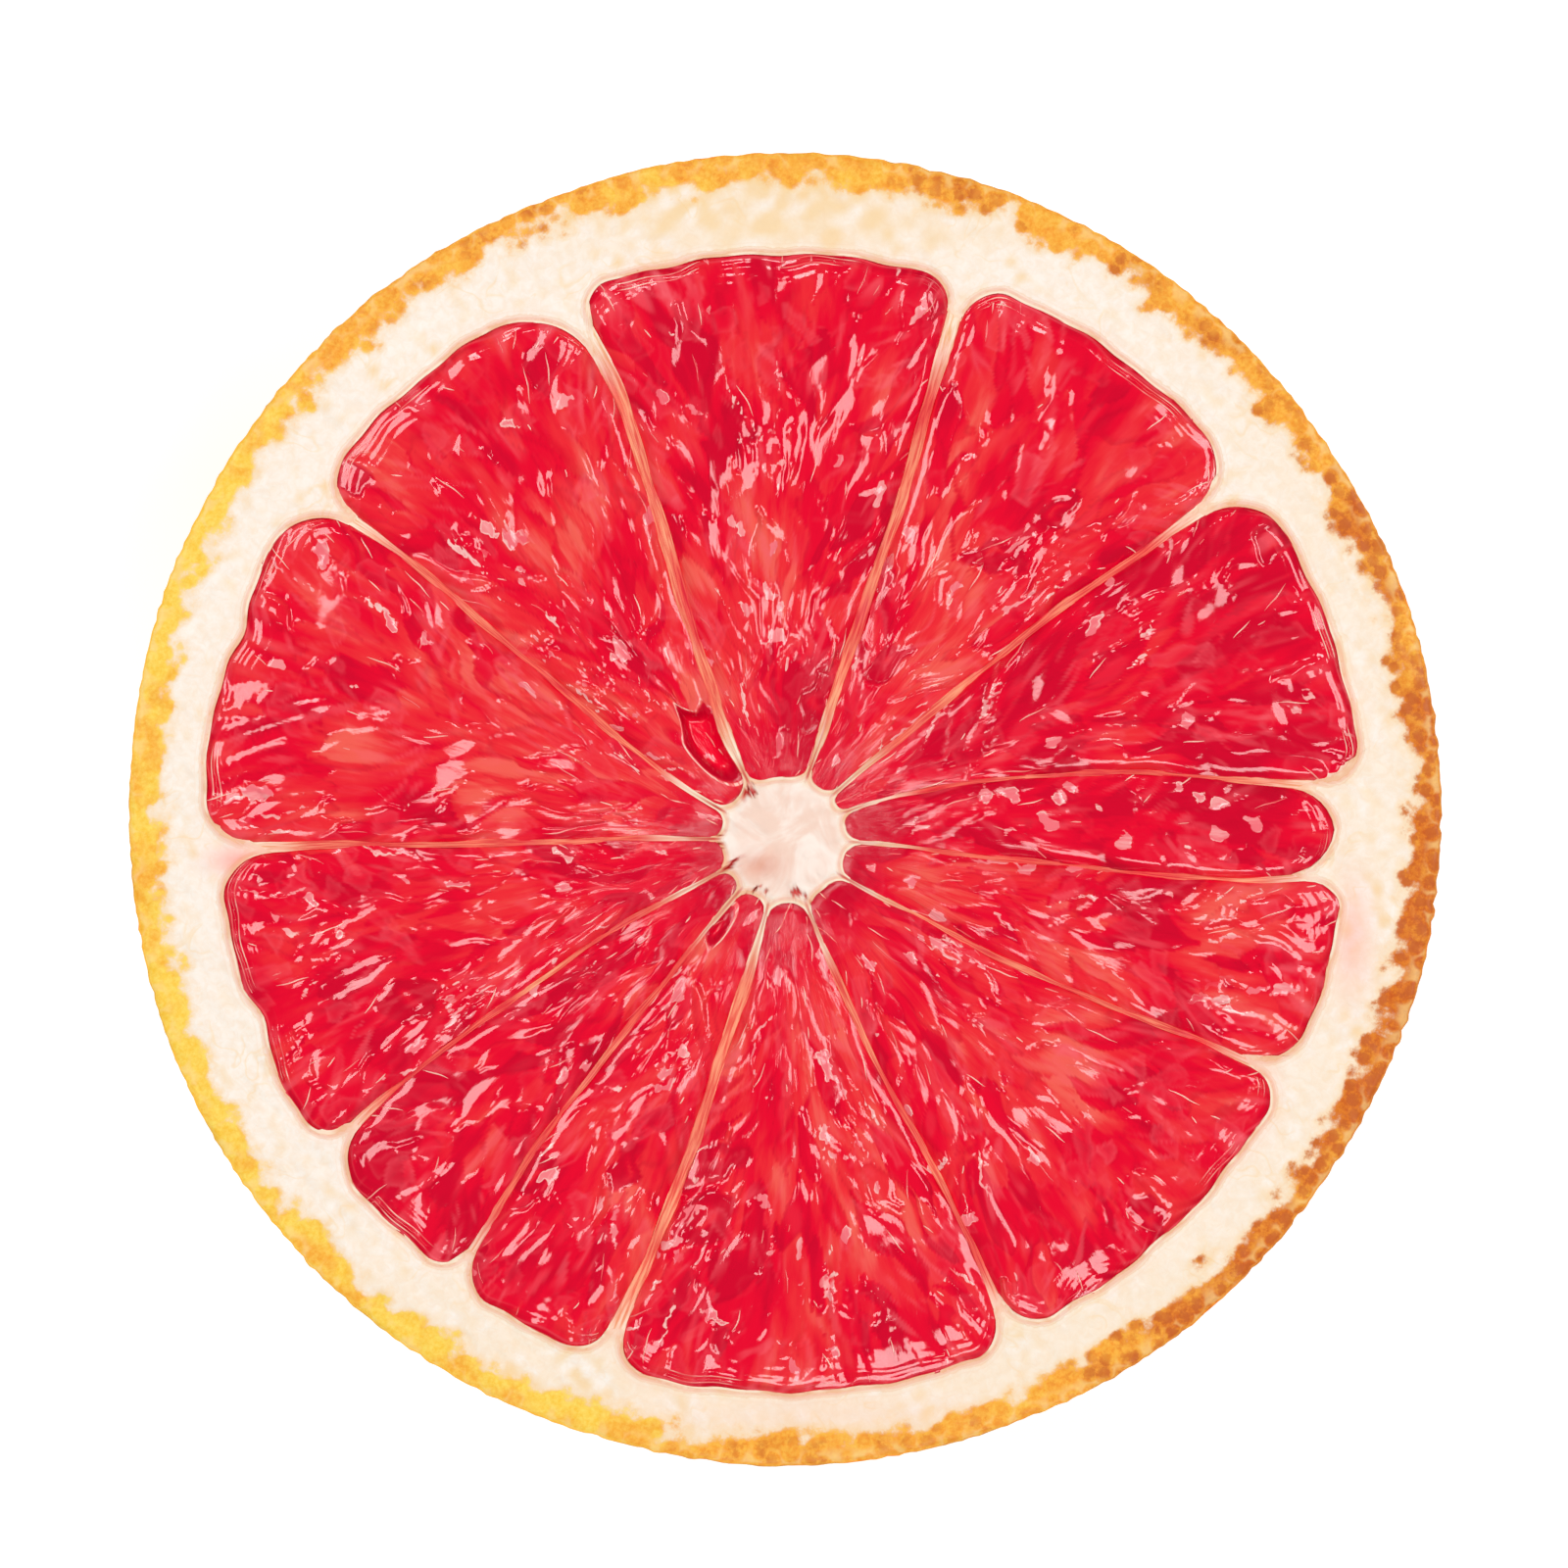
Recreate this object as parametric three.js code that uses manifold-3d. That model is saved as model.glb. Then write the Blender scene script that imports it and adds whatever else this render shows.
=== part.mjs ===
// Half a red grapefruit, cut across its equator and lying on its rounded side, cut face up.
// Millimetres, +Z up. The origin is the middle of the small flat spot that the half rests on.
//
// The peel, the pith, the core and the walls between the segments are one piece of tissue, so they
// are one solid with twelve pockets. Each pocket is filled by a segment of flesh that runs from
// the cut face down to near the pole. Segments count clockwise from the top, seen from above.

import * as THREE from 'three';
import { mergeVertices } from 'three/addons/utils/BufferGeometryUtils.js';
import Module from 'manifold-3d';

const wasm = await Module();
wasm.setup();

// ---------------------------------------------------------------- driving dimensions

const CUT_RADIUS = 54;              // outside of the peel at the cut face
const HALF_HEIGHT = 48;             // flat spot up to the cut face
const FLAT_RADIUS = 10;             // the flat spot under the half
const SCAR_RADIUS = 2.2;            // the blossom scar, a dimple in the middle of the flat spot
const SCAR_DEPTH = 0.8;

const CORE = { x: 0, y: -2.5, radius: 4.8 };        // the white column that the segments meet at
const FLESH = { x: 0, y: -0.9, radius: 46.6 };      // the circle that the segments reach out to
const FLESH_DEPTH = 41.5;           // half-axis of the flesh below the cut face
const MEMBRANE = 0.6;               // wall between two segments
const GAP = 0.3;                    // clearance between a segment and its pocket

const TIP_CLEARANCE = 0.4;          // core to the inner tip of a segment
const TIP_ROUNDING = 1.3;           // corner radius of the inner tip
const EDGE_DROP = 0.3;              // the flesh meets its walls this far below the cut face
const CROWN = 0.8;                  // how far the flesh swells between its edges
const CROWN_WIDTH = 2.6;            // distance from a wall over which it swells
const SAC_RELIEF = 0.35;            // unevenness that the cut juice sacs leave
const HOLLOW = { start: 7, end: 20, depth: 0.5 };   // the flesh lies lower around the core

// Slow unevenness of the outline: waves round the rim, with size and the angle of a crest.
const WAVES = [
  { count: 2, size: 0.03, crest: 0 },
  { count: 3, size: 0.05, crest: -20 },
  { count: 5, size: 0.07, crest: -1 },
  { count: 10, size: 0.05, crest: -17 },
];

// The membranes bend a little, so each is given by its angle at three distances from the core.
const MEMBRANE_RADII = [5.6, 25, 45];

// One row a segment: the membrane on its anticlockwise side (degrees from +X at the three
// distances above), how far the segment reaches past the flesh circle, and the radii of its
// outer corners, anticlockwise side first. A dent is a fold in the outer edge.
const SEGMENTS = [
  { wall: [121.7, 111.8, 111.2], reach: 0.0, corners: [3.0, 2.6] },
  { wall: [69.8, 71.0, 72.0], reach: 0.4, corners: [3.5, 4.5] },
  { wall: [42.5, 40.2, 38.2], reach: 0.9, corners: [5.0, 3.6] },
  { wall: [24.4, 12.6, 5.6], reach: -1.3, corners: [3.4, 3.4] },
  { wall: [-1.6, -5.4, -3.6], reach: -0.3, corners: [3.2, 4.0] },
  { wall: [-32.0, -27.6, -25.4], reach: -0.3, corners: [2.8, 3.6] },
  { wall: [-71.0, -66.2, -65.5], reach: 0.4, corners: [3.2, 3.2] },
  { wall: [-103.8, -106.6, -109.2], reach: 0.0, corners: [2.4, 3.0] },
  { wall: [-131.1, -129.5, -126.8], reach: -0.3, corners: [2.5, 3.5] },
  { wall: [-153.4, -150.0, -145.8], reach: -0.1, corners: [3.0, 4.5], dent: { angle: -161, depth: 0.7 } },
  { wall: [-180.8, -179.5, -179.2], reach: 1.1, corners: [4.0, 4.5], dent: { angle: -201.5, depth: 0.8 } },
  { wall: [-205.5, -214.8, -216.4], reach: 0.4, corners: [4.0, 6.0] },
];
const DENT_WIDTH = 2.2;

// Two places where sacs tore out: how far from the core and at what angle, and their sizes.
const PITS = [
  { segment: 12, distance: 10.6, angle: 120, length: 8, width: 3.6, depth: 2.4 },
  { segment: 8, distance: 9.3, angle: -128, length: 5, width: 1.8, depth: 1.4 },
];

// ---------------------------------------------------------------- fineness

const RIM_COLUMNS = 80;
const DOME_ROWS = 14;
const LATITUDES = [0, 24, 46, 66];                  // levels of a segment, in degrees
const ACROSS = [0, 0.04, 0.12, 0.25, 0.42, 0.58, 0.75, 0.88, 0.96, 1];
const ALONG = [0, 0.03, 0.08, 0.14, 0.22, 0.34, 0.46, 0.58, 0.7, 0.82, 0.93, 1];
const POCKET_LIFT = 1.5;                            // a pocket's cutter stands proud of the cut face

// ---------------------------------------------------------------- helpers

const toRadians = (degrees) => (degrees * Math.PI) / 180;

function seededDraws(seed) {
  let state = seed;
  return () => {
    state = (Math.imul(state, 1664525) + 1013904223) >>> 0;
    return state / 4294967296;
  };
}

function smoothStep(low, high, value) {
  const t = Math.min(Math.max((value - low) / (high - low), 0), 1);
  return t * t * (3 - 2 * t);
}

// How far a round corner of this radius pulls an edge back, at a distance from the side.
function cornerPull(radius, distance) {
  const short = Math.max(radius - distance, 0);
  return radius - Math.sqrt(Math.max(radius * radius - short * short, 0));
}

function geometryFrom(positions, triangles) {
  const geometry = new THREE.BufferGeometry();
  geometry.setAttribute('position', new THREE.Float32BufferAttribute(positions, 3));
  geometry.setIndex(triangles);
  geometry.computeVertexNormals();
  return geometry;
}

function solidFrom(geometry) {
  const bare = geometry.clone();
  bare.deleteAttribute('normal');
  bare.deleteAttribute('uv');
  const merged = mergeVertices(bare, 1e-4);
  const index = merged.index.array;
  const kept = [];
  for (let i = 0; i < index.length; i += 3) {
    const [a, b, c] = [index[i], index[i + 1], index[i + 2]];
    if (a !== b && b !== c && c !== a) kept.push(a, b, c);
  }
  return new wasm.Manifold(new wasm.Mesh({
    numProp: 3,
    vertProperties: new Float32Array(merged.attributes.position.array),
    triVerts: new Uint32Array(kept),
  }));
}

function geometryOfSolid(solid) {
  const mesh = solid.getMesh();
  return geometryFrom(Array.from(mesh.vertProperties), Array.from(mesh.triVerts));
}

// ---------------------------------------------------------------- the shape of one segment

function membraneAngle(wall, radius) {
  const [near, middle, far] = MEMBRANE_RADII;
  const nearShare = ((radius - middle) * (radius - far)) / ((near - middle) * (near - far));
  const middleShare = ((radius - near) * (radius - far)) / ((middle - near) * (middle - far));
  const farShare = ((radius - near) * (radius - middle)) / ((far - near) * (far - middle));
  return toRadians(wall[0] * nearShare + wall[1] * middleShare + wall[2] * farShare);
}

function wallsOf(index) {
  const last = index === SEGMENTS.length - 1;
  const next = SEGMENTS[last ? 0 : index + 1].wall;
  return { left: SEGMENTS[index].wall, right: last ? next.map((angle) => angle - 360) : next };
}

// Distance from the core to the outer edge of a segment at the cut face, before it is inset.
function outerReach(index, across, inset) {
  const segment = SEGMENTS[index];
  const { left, right } = wallsOf(index);
  const farRadius = MEMBRANE_RADII[2];
  const leftAngle = membraneAngle(left, farRadius);
  const rightAngle = membraneAngle(right, farRadius);
  const angle = leftAngle + (rightAngle - leftAngle) * across;
  const width = (leftAngle - rightAngle) * farRadius;
  const lift = FLESH.y - CORE.y;
  const circle = lift * Math.sin(angle) + Math.sqrt(FLESH.radius ** 2 - (lift * Math.cos(angle)) ** 2);
  const corners = cornerPull(segment.corners[0] - inset, across * width)
    + cornerPull(segment.corners[1] - inset, (1 - across) * width);
  let dent = 0;
  if (segment.dent) {
    const away = (angle - toRadians(segment.dent.angle)) * farRadius;
    dent = segment.dent.depth * Math.exp(-((away / DENT_WIDTH) ** 2));
  }
  return circle + segment.reach - corners - dent;
}

// A point of a segment's cross-section. across runs from its anticlockwise wall (0) to its
// clockwise wall (1), along from the core (0) to the pith (1), and inset shrinks it all round.
function segmentPoint(index, across, along, latitude, inset) {
  const { left, right } = wallsOf(index);
  const tipWidth = (membraneAngle(left, MEMBRANE_RADII[0]) - membraneAngle(right, MEMBRANE_RADII[0]))
    * MEMBRANE_RADII[0];
  const rounding = Math.min(TIP_ROUNDING, tipWidth * 0.4);
  const tip = cornerPull(rounding, across * tipWidth) + cornerPull(rounding, (1 - across) * tipWidth);
  const inner = CORE.radius + TIP_CLEARANCE + tip + inset;
  const outerAtCut = outerReach(index, across, inset) - inset;
  const outer = outerReach(index, across, inset) * Math.cos(latitude) - inset;
  const radiusAtCut = inner + (outerAtCut - inner) * along;
  const radius = inner + (outer - inner) * along;
  const side = (MEMBRANE / 2 + inset) / radius;
  const leftAngle = membraneAngle(left, radiusAtCut) - side;
  const rightAngle = membraneAngle(right, radiusAtCut) + side;
  const angle = leftAngle + (rightAngle - leftAngle) * across;
  return {
    x: CORE.x + radius * Math.cos(angle),
    y: CORE.y + radius * Math.sin(angle),
    radius,
    angle,
    edge: Math.min(across, 1 - across) * (leftAngle - rightAngle) * radius,
    end: outer - radius,
  };
}

// The closed outline of a cross-section, anticlockwise seen from above.
function outlineSteps() {
  const lastAcross = ACROSS.length - 1;
  const lastAlong = ALONG.length - 1;
  const steps = [];
  for (let i = 0; i < lastAcross; i += 1) steps.push([i, 0]);
  for (let j = 0; j < lastAlong; j += 1) steps.push([lastAcross, j]);
  for (let i = lastAcross; i > 0; i -= 1) steps.push([i, lastAlong]);
  for (let j = lastAlong; j > 0; j -= 1) steps.push([0, j]);
  return steps;
}

const OUTLINE = outlineSteps();

function heightAtLatitude(latitude, inset) {
  return HALF_HEIGHT - (FLESH_DEPTH - inset) * Math.sin(latitude);
}

function addRing(positions, index, latitude, height, inset) {
  for (const [i, j] of OUTLINE) {
    const point = segmentPoint(index, ACROSS[i], ALONG[j], latitude, inset);
    positions.push(point.x, point.y, height);
  }
}

function joinRings(triangles, upper, lower) {
  const count = upper.length;
  for (let i = 0; i < count; i += 1) {
    const next = (i + 1) % count;
    triangles.push(upper[i], lower[i], lower[next], upper[i], lower[next], upper[next]);
  }
}

function ringIndices(ring) {
  return OUTLINE.map((step, i) => ring * OUTLINE.length + i);
}

function capRing(triangles, positions, ring, facingUp) {
  const outline = ring.map((i) => new THREE.Vector2(positions[3 * i], positions[3 * i + 1]));
  for (const [a, b, c] of THREE.ShapeUtils.triangulateShape(outline, [])) {
    if (facingUp) triangles.push(ring[a], ring[b], ring[c]);
    else triangles.push(ring[a], ring[c], ring[b]);
  }
}

// The cutter for one pocket: the segment's full size, standing proud of the cut face.
function pocketSolid(index) {
  const positions = [];
  const triangles = [];
  addRing(positions, index, 0, HALF_HEIGHT + POCKET_LIFT, 0);
  for (const degrees of LATITUDES) {
    const latitude = toRadians(degrees);
    addRing(positions, index, latitude, heightAtLatitude(latitude, 0), 0);
  }
  for (let ring = 0; ring < LATITUDES.length; ring += 1) {
    joinRings(triangles, ringIndices(ring), ringIndices(ring + 1));
  }
  capRing(triangles, positions, ringIndices(0), true);
  capRing(triangles, positions, ringIndices(LATITUDES.length), false);
  return solidFrom(geometryFrom(positions, triangles));
}

// ---------------------------------------------------------------- flesh

function pitDepth(index, point) {
  let depth = 0;
  for (const pit of PITS) {
    if (pit.segment !== index + 1) continue;
    const angle = toRadians(pit.angle);
    const dx = point.x - CORE.x - pit.distance * Math.cos(angle);
    const dy = point.y - CORE.y - pit.distance * Math.sin(angle);
    const along = (dx * Math.cos(angle) + dy * Math.sin(angle)) / (pit.length / 2);
    const aside = (dy * Math.cos(angle) - dx * Math.sin(angle)) / (pit.width / 2);
    depth += pit.depth * Math.exp(-(along * along + aside * aside));
  }
  return depth;
}

function fleshHeight(index, point, draw) {
  const swell = smoothStep(0, CROWN_WIDTH, Math.min(point.edge, point.end));
  const hollow = HOLLOW.depth * (1 - smoothStep(HOLLOW.start, HOLLOW.end, point.radius));
  const relief = SAC_RELIEF * (2 * draw - 1) * swell;
  return HALF_HEIGHT - EDGE_DROP + CROWN * swell - hollow * swell + relief - pitDepth(index, point);
}

function fleshGeometry(index) {
  const draws = seededDraws(9176 + 131 * index);
  const positions = [];
  const triangles = [];
  const columns = ACROSS.length;
  const rows = ALONG.length;
  for (let j = 0; j < rows; j += 1) {
    for (let i = 0; i < columns; i += 1) {
      const point = segmentPoint(index, ACROSS[i], ALONG[j], 0, GAP);
      const onEdge = i === 0 || i === columns - 1 || j === 0 || j === rows - 1;
      const height = fleshHeight(index, point, draws());
      positions.push(point.x, point.y, onEdge ? HALF_HEIGHT - EDGE_DROP : height);
    }
  }
  for (let j = 0; j < rows - 1; j += 1) {
    for (let i = 0; i < columns - 1; i += 1) {
      const a = j * columns + i;
      triangles.push(a, a + 1, a + columns + 1, a, a + columns + 1, a + columns);
    }
  }
  let upper = OUTLINE.map(([i, j]) => j * columns + i);
  for (const degrees of LATITUDES.slice(1)) {
    const latitude = toRadians(degrees);
    const first = positions.length / 3;
    addRing(positions, index, latitude, heightAtLatitude(latitude, GAP), GAP);
    const lower = OUTLINE.map((step, i) => first + i);
    joinRings(triangles, upper, lower);
    upper = lower;
  }
  capRing(triangles, positions, upper, false);
  return geometryFrom(positions, triangles);
}

// ---------------------------------------------------------------- peel, pith, core and membranes

function rimWave(angle) {
  let wave = 0;
  for (const { count, size, crest } of WAVES) wave += size * Math.cos(count * (angle - toRadians(crest)));
  return wave;
}

// The whole half as one solid of revolution: scar, flat spot, dome and cut face.
function domeGeometry() {
  const profile = [
    new THREE.Vector2(0, SCAR_DEPTH),
    new THREE.Vector2(SCAR_RADIUS * 0.55, SCAR_DEPTH * 0.8),
    new THREE.Vector2(SCAR_RADIUS, 0),
  ];
  const poleAngle = Math.asin(FLAT_RADIUS / CUT_RADIUS);
  const halfAxis = HALF_HEIGHT / Math.cos(poleAngle);
  for (let row = 0; row <= DOME_ROWS; row += 1) {
    const angle = poleAngle + (Math.PI / 2 - poleAngle) * (row / DOME_ROWS);
    profile.push(new THREE.Vector2(CUT_RADIUS * Math.sin(angle), HALF_HEIGHT - halfAxis * Math.cos(angle)));
  }
  profile.push(new THREE.Vector2(0, HALF_HEIGHT));
  const dome = new THREE.LatheGeometry(profile, RIM_COLUMNS);
  dome.rotateX(Math.PI / 2);
  const position = dome.attributes.position;
  for (let i = 0; i < position.count; i += 1) {
    const angle = Math.atan2(position.getY(i), position.getX(i));
    const swell = 1 + (rimWave(angle) / CUT_RADIUS) * (position.getZ(i) / HALF_HEIGHT);
    position.setX(i, position.getX(i) * swell);
    position.setY(i, position.getY(i) * swell);
  }
  return dome;
}

function peelGeometry() {
  let peel = solidFrom(domeGeometry());
  for (let index = 0; index < SEGMENTS.length; index += 1) peel = peel.subtract(pocketSolid(index));
  return geometryOfSolid(peel);
}

// ---------------------------------------------------------------- materials and assembly

const peelMaterial = new THREE.MeshStandardMaterial({ color: 0xf2b056, roughness: 0.5, metalness: 0 });
const fleshMaterial = new THREE.MeshStandardMaterial({ color: 0xe02c42, roughness: 0.2, metalness: 0 });

const half = new THREE.Group();

function addPiece(name, geometry, material) {
  const mesh = new THREE.Mesh(geometry, material);
  mesh.name = name;
  half.add(mesh);
}

addPiece('peel_and_membranes', peelGeometry(), peelMaterial);
for (let index = 0; index < SEGMENTS.length; index += 1) {
  addPiece(`segment_${String(index + 1).padStart(2, '0')}`, fleshGeometry(index), fleshMaterial);
}

export default half;
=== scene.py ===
"""Half a red grapefruit seen straight from above, dressed for a plain studio picture.

The frame gives the solids. Every piece here replaces one of them and keeps its place: the pith with
its core and membranes, the skin round it, and the flesh of the twelve segments. Lengths are in
millimetres until a mesh is made, and MM turns them into metres.
"""

import math

import bpy
import numpy as np
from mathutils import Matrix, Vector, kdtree


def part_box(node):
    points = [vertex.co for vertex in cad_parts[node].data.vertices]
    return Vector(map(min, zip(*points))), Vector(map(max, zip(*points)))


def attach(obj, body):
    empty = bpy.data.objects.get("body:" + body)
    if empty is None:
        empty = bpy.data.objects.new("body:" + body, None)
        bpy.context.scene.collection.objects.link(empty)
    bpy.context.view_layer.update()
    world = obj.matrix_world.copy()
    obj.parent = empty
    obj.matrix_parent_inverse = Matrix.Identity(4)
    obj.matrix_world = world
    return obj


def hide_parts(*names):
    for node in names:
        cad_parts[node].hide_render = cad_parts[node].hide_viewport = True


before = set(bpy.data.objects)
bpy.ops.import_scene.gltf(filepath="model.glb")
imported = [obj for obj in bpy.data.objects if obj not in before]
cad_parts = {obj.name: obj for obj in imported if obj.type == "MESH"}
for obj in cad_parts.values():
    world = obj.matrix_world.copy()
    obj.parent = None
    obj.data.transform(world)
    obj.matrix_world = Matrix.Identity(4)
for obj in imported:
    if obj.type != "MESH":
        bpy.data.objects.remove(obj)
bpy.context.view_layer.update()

MM = 0.001

# ---------------------------------------------------------------- driving dimensions

CUT_RADIUS = 54.0  # outside of the peel at the cut face
HALF_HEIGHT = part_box("peel_and_membranes")[1][2] / MM  # flat spot up to the cut face
FLAT_RADIUS = 10.0  # the flat spot under the half
SCAR_RADIUS = 2.2  # the blossom scar in the middle of the flat spot
SCAR_DEPTH = 0.8
SKIN = 3.4  # the outer piece of the peel is this thick; its coloured skin is thinner

CORE_Y = -2.5  # the white column lies this far off the middle
CORE_RADIUS = 4.8
FLESH_Y = -0.9  # middle of the circle that the segments reach out to
FLESH_RADIUS = 46.6
FLESH_DEPTH = 41.5
FLESH_LATITUDES = (24, 46, 66)  # levels of a segment below the cut face, in degrees
WALLS = (1.0, 0.9, 0.6, 0.4, 0.4, 0.44, 0.5, 0.95, 0.5, 0.42, 0.5, 0.56)  # widths of the membranes
PALENESS = (0.55, 0.45, 0.25, 0.15, 0.25, 0.2, 0.2, 0.8, 0.15, 0.1, 0.3, 0.4)  # of the membranes
TIP_CLEARANCE = 0.4
TIP_ROUNDING = 1.3
WALL_FOOT = 0.12  # a pocket's side drops over this distance
REACH_IN = 0.05  # the flesh reaches this far into the membranes
END_REACH = 0.2  # and this far into the pith

NEAR, MIDWAY, FAR = 5.6, 25.0, 45.0  # distances from the core at which a membrane's angle is given

# One row a segment, clockwise from the top: the membrane on its anticlockwise side (degrees from +X
# at those three distances), its reach past the flesh circle and its outer corner radii.
SEGMENTS = (
    ((121.7, 111.8, 111.2), 0.0, (3.0, 2.6)),
    ((69.8, 71.0, 72.0), 0.4, (3.5, 4.5)),
    ((42.5, 40.2, 38.2), 0.9, (5.0, 3.6)),
    ((24.4, 12.6, 5.6), -1.3, (3.4, 3.4)),
    ((-1.6, -5.4, -3.6), -0.3, (3.2, 4.0)),
    ((-32.0, -27.6, -25.4), -0.3, (2.8, 3.6)),
    ((-71.0, -66.2, -65.5), 0.4, (3.2, 3.2)),
    ((-103.8, -106.6, -109.2), 0.0, (2.4, 3.0)),
    ((-131.1, -129.5, -126.8), -0.3, (2.5, 3.5)),
    ((-153.4, -150.0, -145.8), -0.1, (3.0, 4.5)),
    ((-180.8, -179.5, -179.2), 1.1, (4.0, 4.5)),
    ((-205.5, -214.8, -216.4), 0.4, (4.0, 6.0)),
)
COUNT = len(SEGMENTS)
DENTS = {9: (-161.0, 0.7), 10: (-201.5, 0.8)}  # a fold in the outer edge: angle and depth
DENT_WIDTH = 2.2
WAVES = ((2, 0.03, 0.0), (3, 0.05, -20.0), (5, 0.07, -1.0), (10, 0.05, -17.0))  # of the rim

# Torn hollows in the flesh: segment, distance from the core, angle, length, width and depth.
PITS = ((11, 10.3, 126.5, 8.6, 4.0, 1.3), (7, 9.3, -127.0, 5.0, 1.6, 0.9))

# ---------------------------------------------------------------- numbers and noise


def smooth(low, high, value):
    """Eases from 0 at the first number to 1 at the second one, which may be the smaller."""
    t = np.clip((value - low) / (high - low), 0.0, 1.0)
    return t * t * (3.0 - 2.0 * t)


def eased(share, ease):
    """Shares from 0 to 1 drawn towards both ends."""
    return share - ease * np.sin(math.tau * share) / math.tau


def around(radius, angle, middle_y=0.0):
    """x and y at this distance and angle from a middle on the line x = 0."""
    return radius * np.cos(angle), middle_y + radius * np.sin(angle)


def turned(dx, dy, heading):
    """Distances along a heading and to its left."""
    return dx * np.cos(heading) + dy * np.sin(heading), dy * np.cos(heading) - dx * np.sin(heading)


def turn_between(start, end):
    """The turn from one angle to another one, by the shorter way round."""
    return np.angle(np.exp(1j * (end - start)))


def corner_pull(radius, distance):
    """How far a round corner pulls an edge back, at a distance from the side."""
    short = np.maximum(radius - distance, 0.0)
    return radius - np.sqrt(np.maximum(radius * radius - short * short, 0.0))


def ripple(places, wavelength, seed, waves=9):
    """Smooth seeded noise of about unit size at these places, given as a list of coordinate arrays."""
    draws = np.random.default_rng(seed)
    total = np.zeros_like(places[0])
    for _ in range(waves):
        heading = draws.normal(size=len(places))
        heading /= np.linalg.norm(heading)
        turns = math.tau / (wavelength * draws.uniform(0.7, 1.5))
        phase = draws.uniform(0.0, math.tau)
        along = sum(part * place for part, place in zip(heading, places))
        total += np.cos(along * turns + phase)
    return total * math.sqrt(2.0 / waves)


def warped(x, y, *pushes):
    """Places pushed about by ripples, each given as its size, its wavelength and two seeds."""
    at = [x, y]
    for size, wavelength, seed_x, seed_y in pushes:
        x = x + size * ripple(at, wavelength, seed_x)
        y = y + size * ripple(at, wavelength, seed_y)
    return x, y


class Lattice:
    """Seeded random heights on a square lattice of the plane, smoothed between its points."""

    SIZE = 512

    def __init__(self, grain, seed):
        self.grain = grain
        self.heights = np.random.default_rng(seed).normal(size=(self.SIZE, self.SIZE))

    def at(self, x, y):
        column, row = x / self.grain, y / self.grain
        left, low = np.floor(column).astype(int), np.floor(row).astype(int)
        across, up = smooth(0.0, 1.0, column - left), smooth(0.0, 1.0, row - low)
        right, high = (left + 1) % self.SIZE, (low + 1) % self.SIZE
        left, low = left % self.SIZE, low % self.SIZE
        lower = self.heights[low, left] * (1.0 - across) + self.heights[low, right] * across
        upper = self.heights[high, left] * (1.0 - across) + self.heights[high, right] * across
        return lower * (1.0 - up) + upper * up

    def streaks(self, x, y, heading, reach):
        """The lattice drawn out along a heading, this far to both sides, of about unit size."""
        steps = 2 * round(reach / (0.6 * self.grain)) + 1
        total = np.zeros_like(x)
        for share in np.linspace(-1.0, 1.0, steps):
            ahead = share * reach
            weight = math.cos(0.5 * math.pi * share) ** 2
            total += weight * self.at(x + ahead * np.cos(heading), y + ahead * np.sin(heading))
        return total / total.std()


# ---------------------------------------------------------------- outlines shared by all pieces


def waver(radius, seed, waves):
    """A seeded sum of sine waves along a membrane, each given as its size and its length."""
    phases = np.random.default_rng(seed).uniform(0.0, math.tau, len(waves))
    return sum(size * np.sin(radius / length + phase) for (size, length), phase in zip(waves, phases))


def membrane_angle(index, radius):
    """Angle of a membrane's middle about the core, in radians, with a slight waver."""
    lap, place = divmod(index, COUNT)
    curve = np.polyfit((NEAR, MIDWAY, FAR), np.radians(SEGMENTS[place][0]), 2)
    held = smooth(7.0, 14.0, radius) * smooth(44.0, 37.0, radius)
    aside = waver(radius, 400 + place, ((0.13, 4.6), (0.05, 2.0), (0.02, 0.8))) * held
    return np.polyval(curve, radius) - math.tau * lap + aside / radius


def span(index, radius):
    """Angle between the middles of the two membranes beside a segment."""
    return membrane_angle(index, radius) - membrane_angle(index + 1, radius)


def half_wall(index, radius):
    """Half the thickness of a membrane."""
    uneven = waver(radius, 500 + index % COUNT, ((0.05, 2.3), (0.03, 1.0)))
    near_core = smooth(10.0, 5.5, radius)
    near_pith = 0.20 * smooth(35.0, 45.0, radius)
    half = 0.5 * WALLS[index % COUNT]
    return half + (0.19 - half) * near_core + uneven * (1.0 - 0.6 * near_core) + near_pith


def tip_radius(from_left, from_right):
    """Distance from the core to a segment's inner end, by the distances to its two sides."""
    width = from_left + from_right
    rounding = np.minimum(TIP_ROUNDING, 0.45 * width)
    pull = corner_pull(rounding, from_left) + corner_pull(rounding, from_right)
    return CORE_RADIUS + TIP_CLEARANCE + pull


def outer_radius(index, from_left, from_right):
    """Distance from the core to a segment's outer edge, by the distances to its two sides."""
    reach, corners = SEGMENTS[index][1:]
    share = from_left / (from_left + from_right)
    angle = membrane_angle(index, FAR) - span(index, FAR) * share
    lift = FLESH_Y - CORE_Y
    circle = lift * np.sin(angle) + np.sqrt(FLESH_RADIUS**2 - (lift * np.cos(angle)) ** 2)
    pull = corner_pull(corners[0], from_left) + corner_pull(corners[1], from_right)
    uneven = 0.10 * np.sin(angle * 31.0 + index) + 0.06 * np.sin(angle * 67.0 + 2.0 * index)
    radius = circle + reach - pull + uneven * smooth(0.5, 3.0, np.minimum(from_left, from_right))
    if index in DENTS:
        place, depth = DENTS[index]
        away = (angle - math.radians(place)) * FAR / DENT_WIDTH
        radius = radius - depth * np.exp(-away * away)
    return radius


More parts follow.
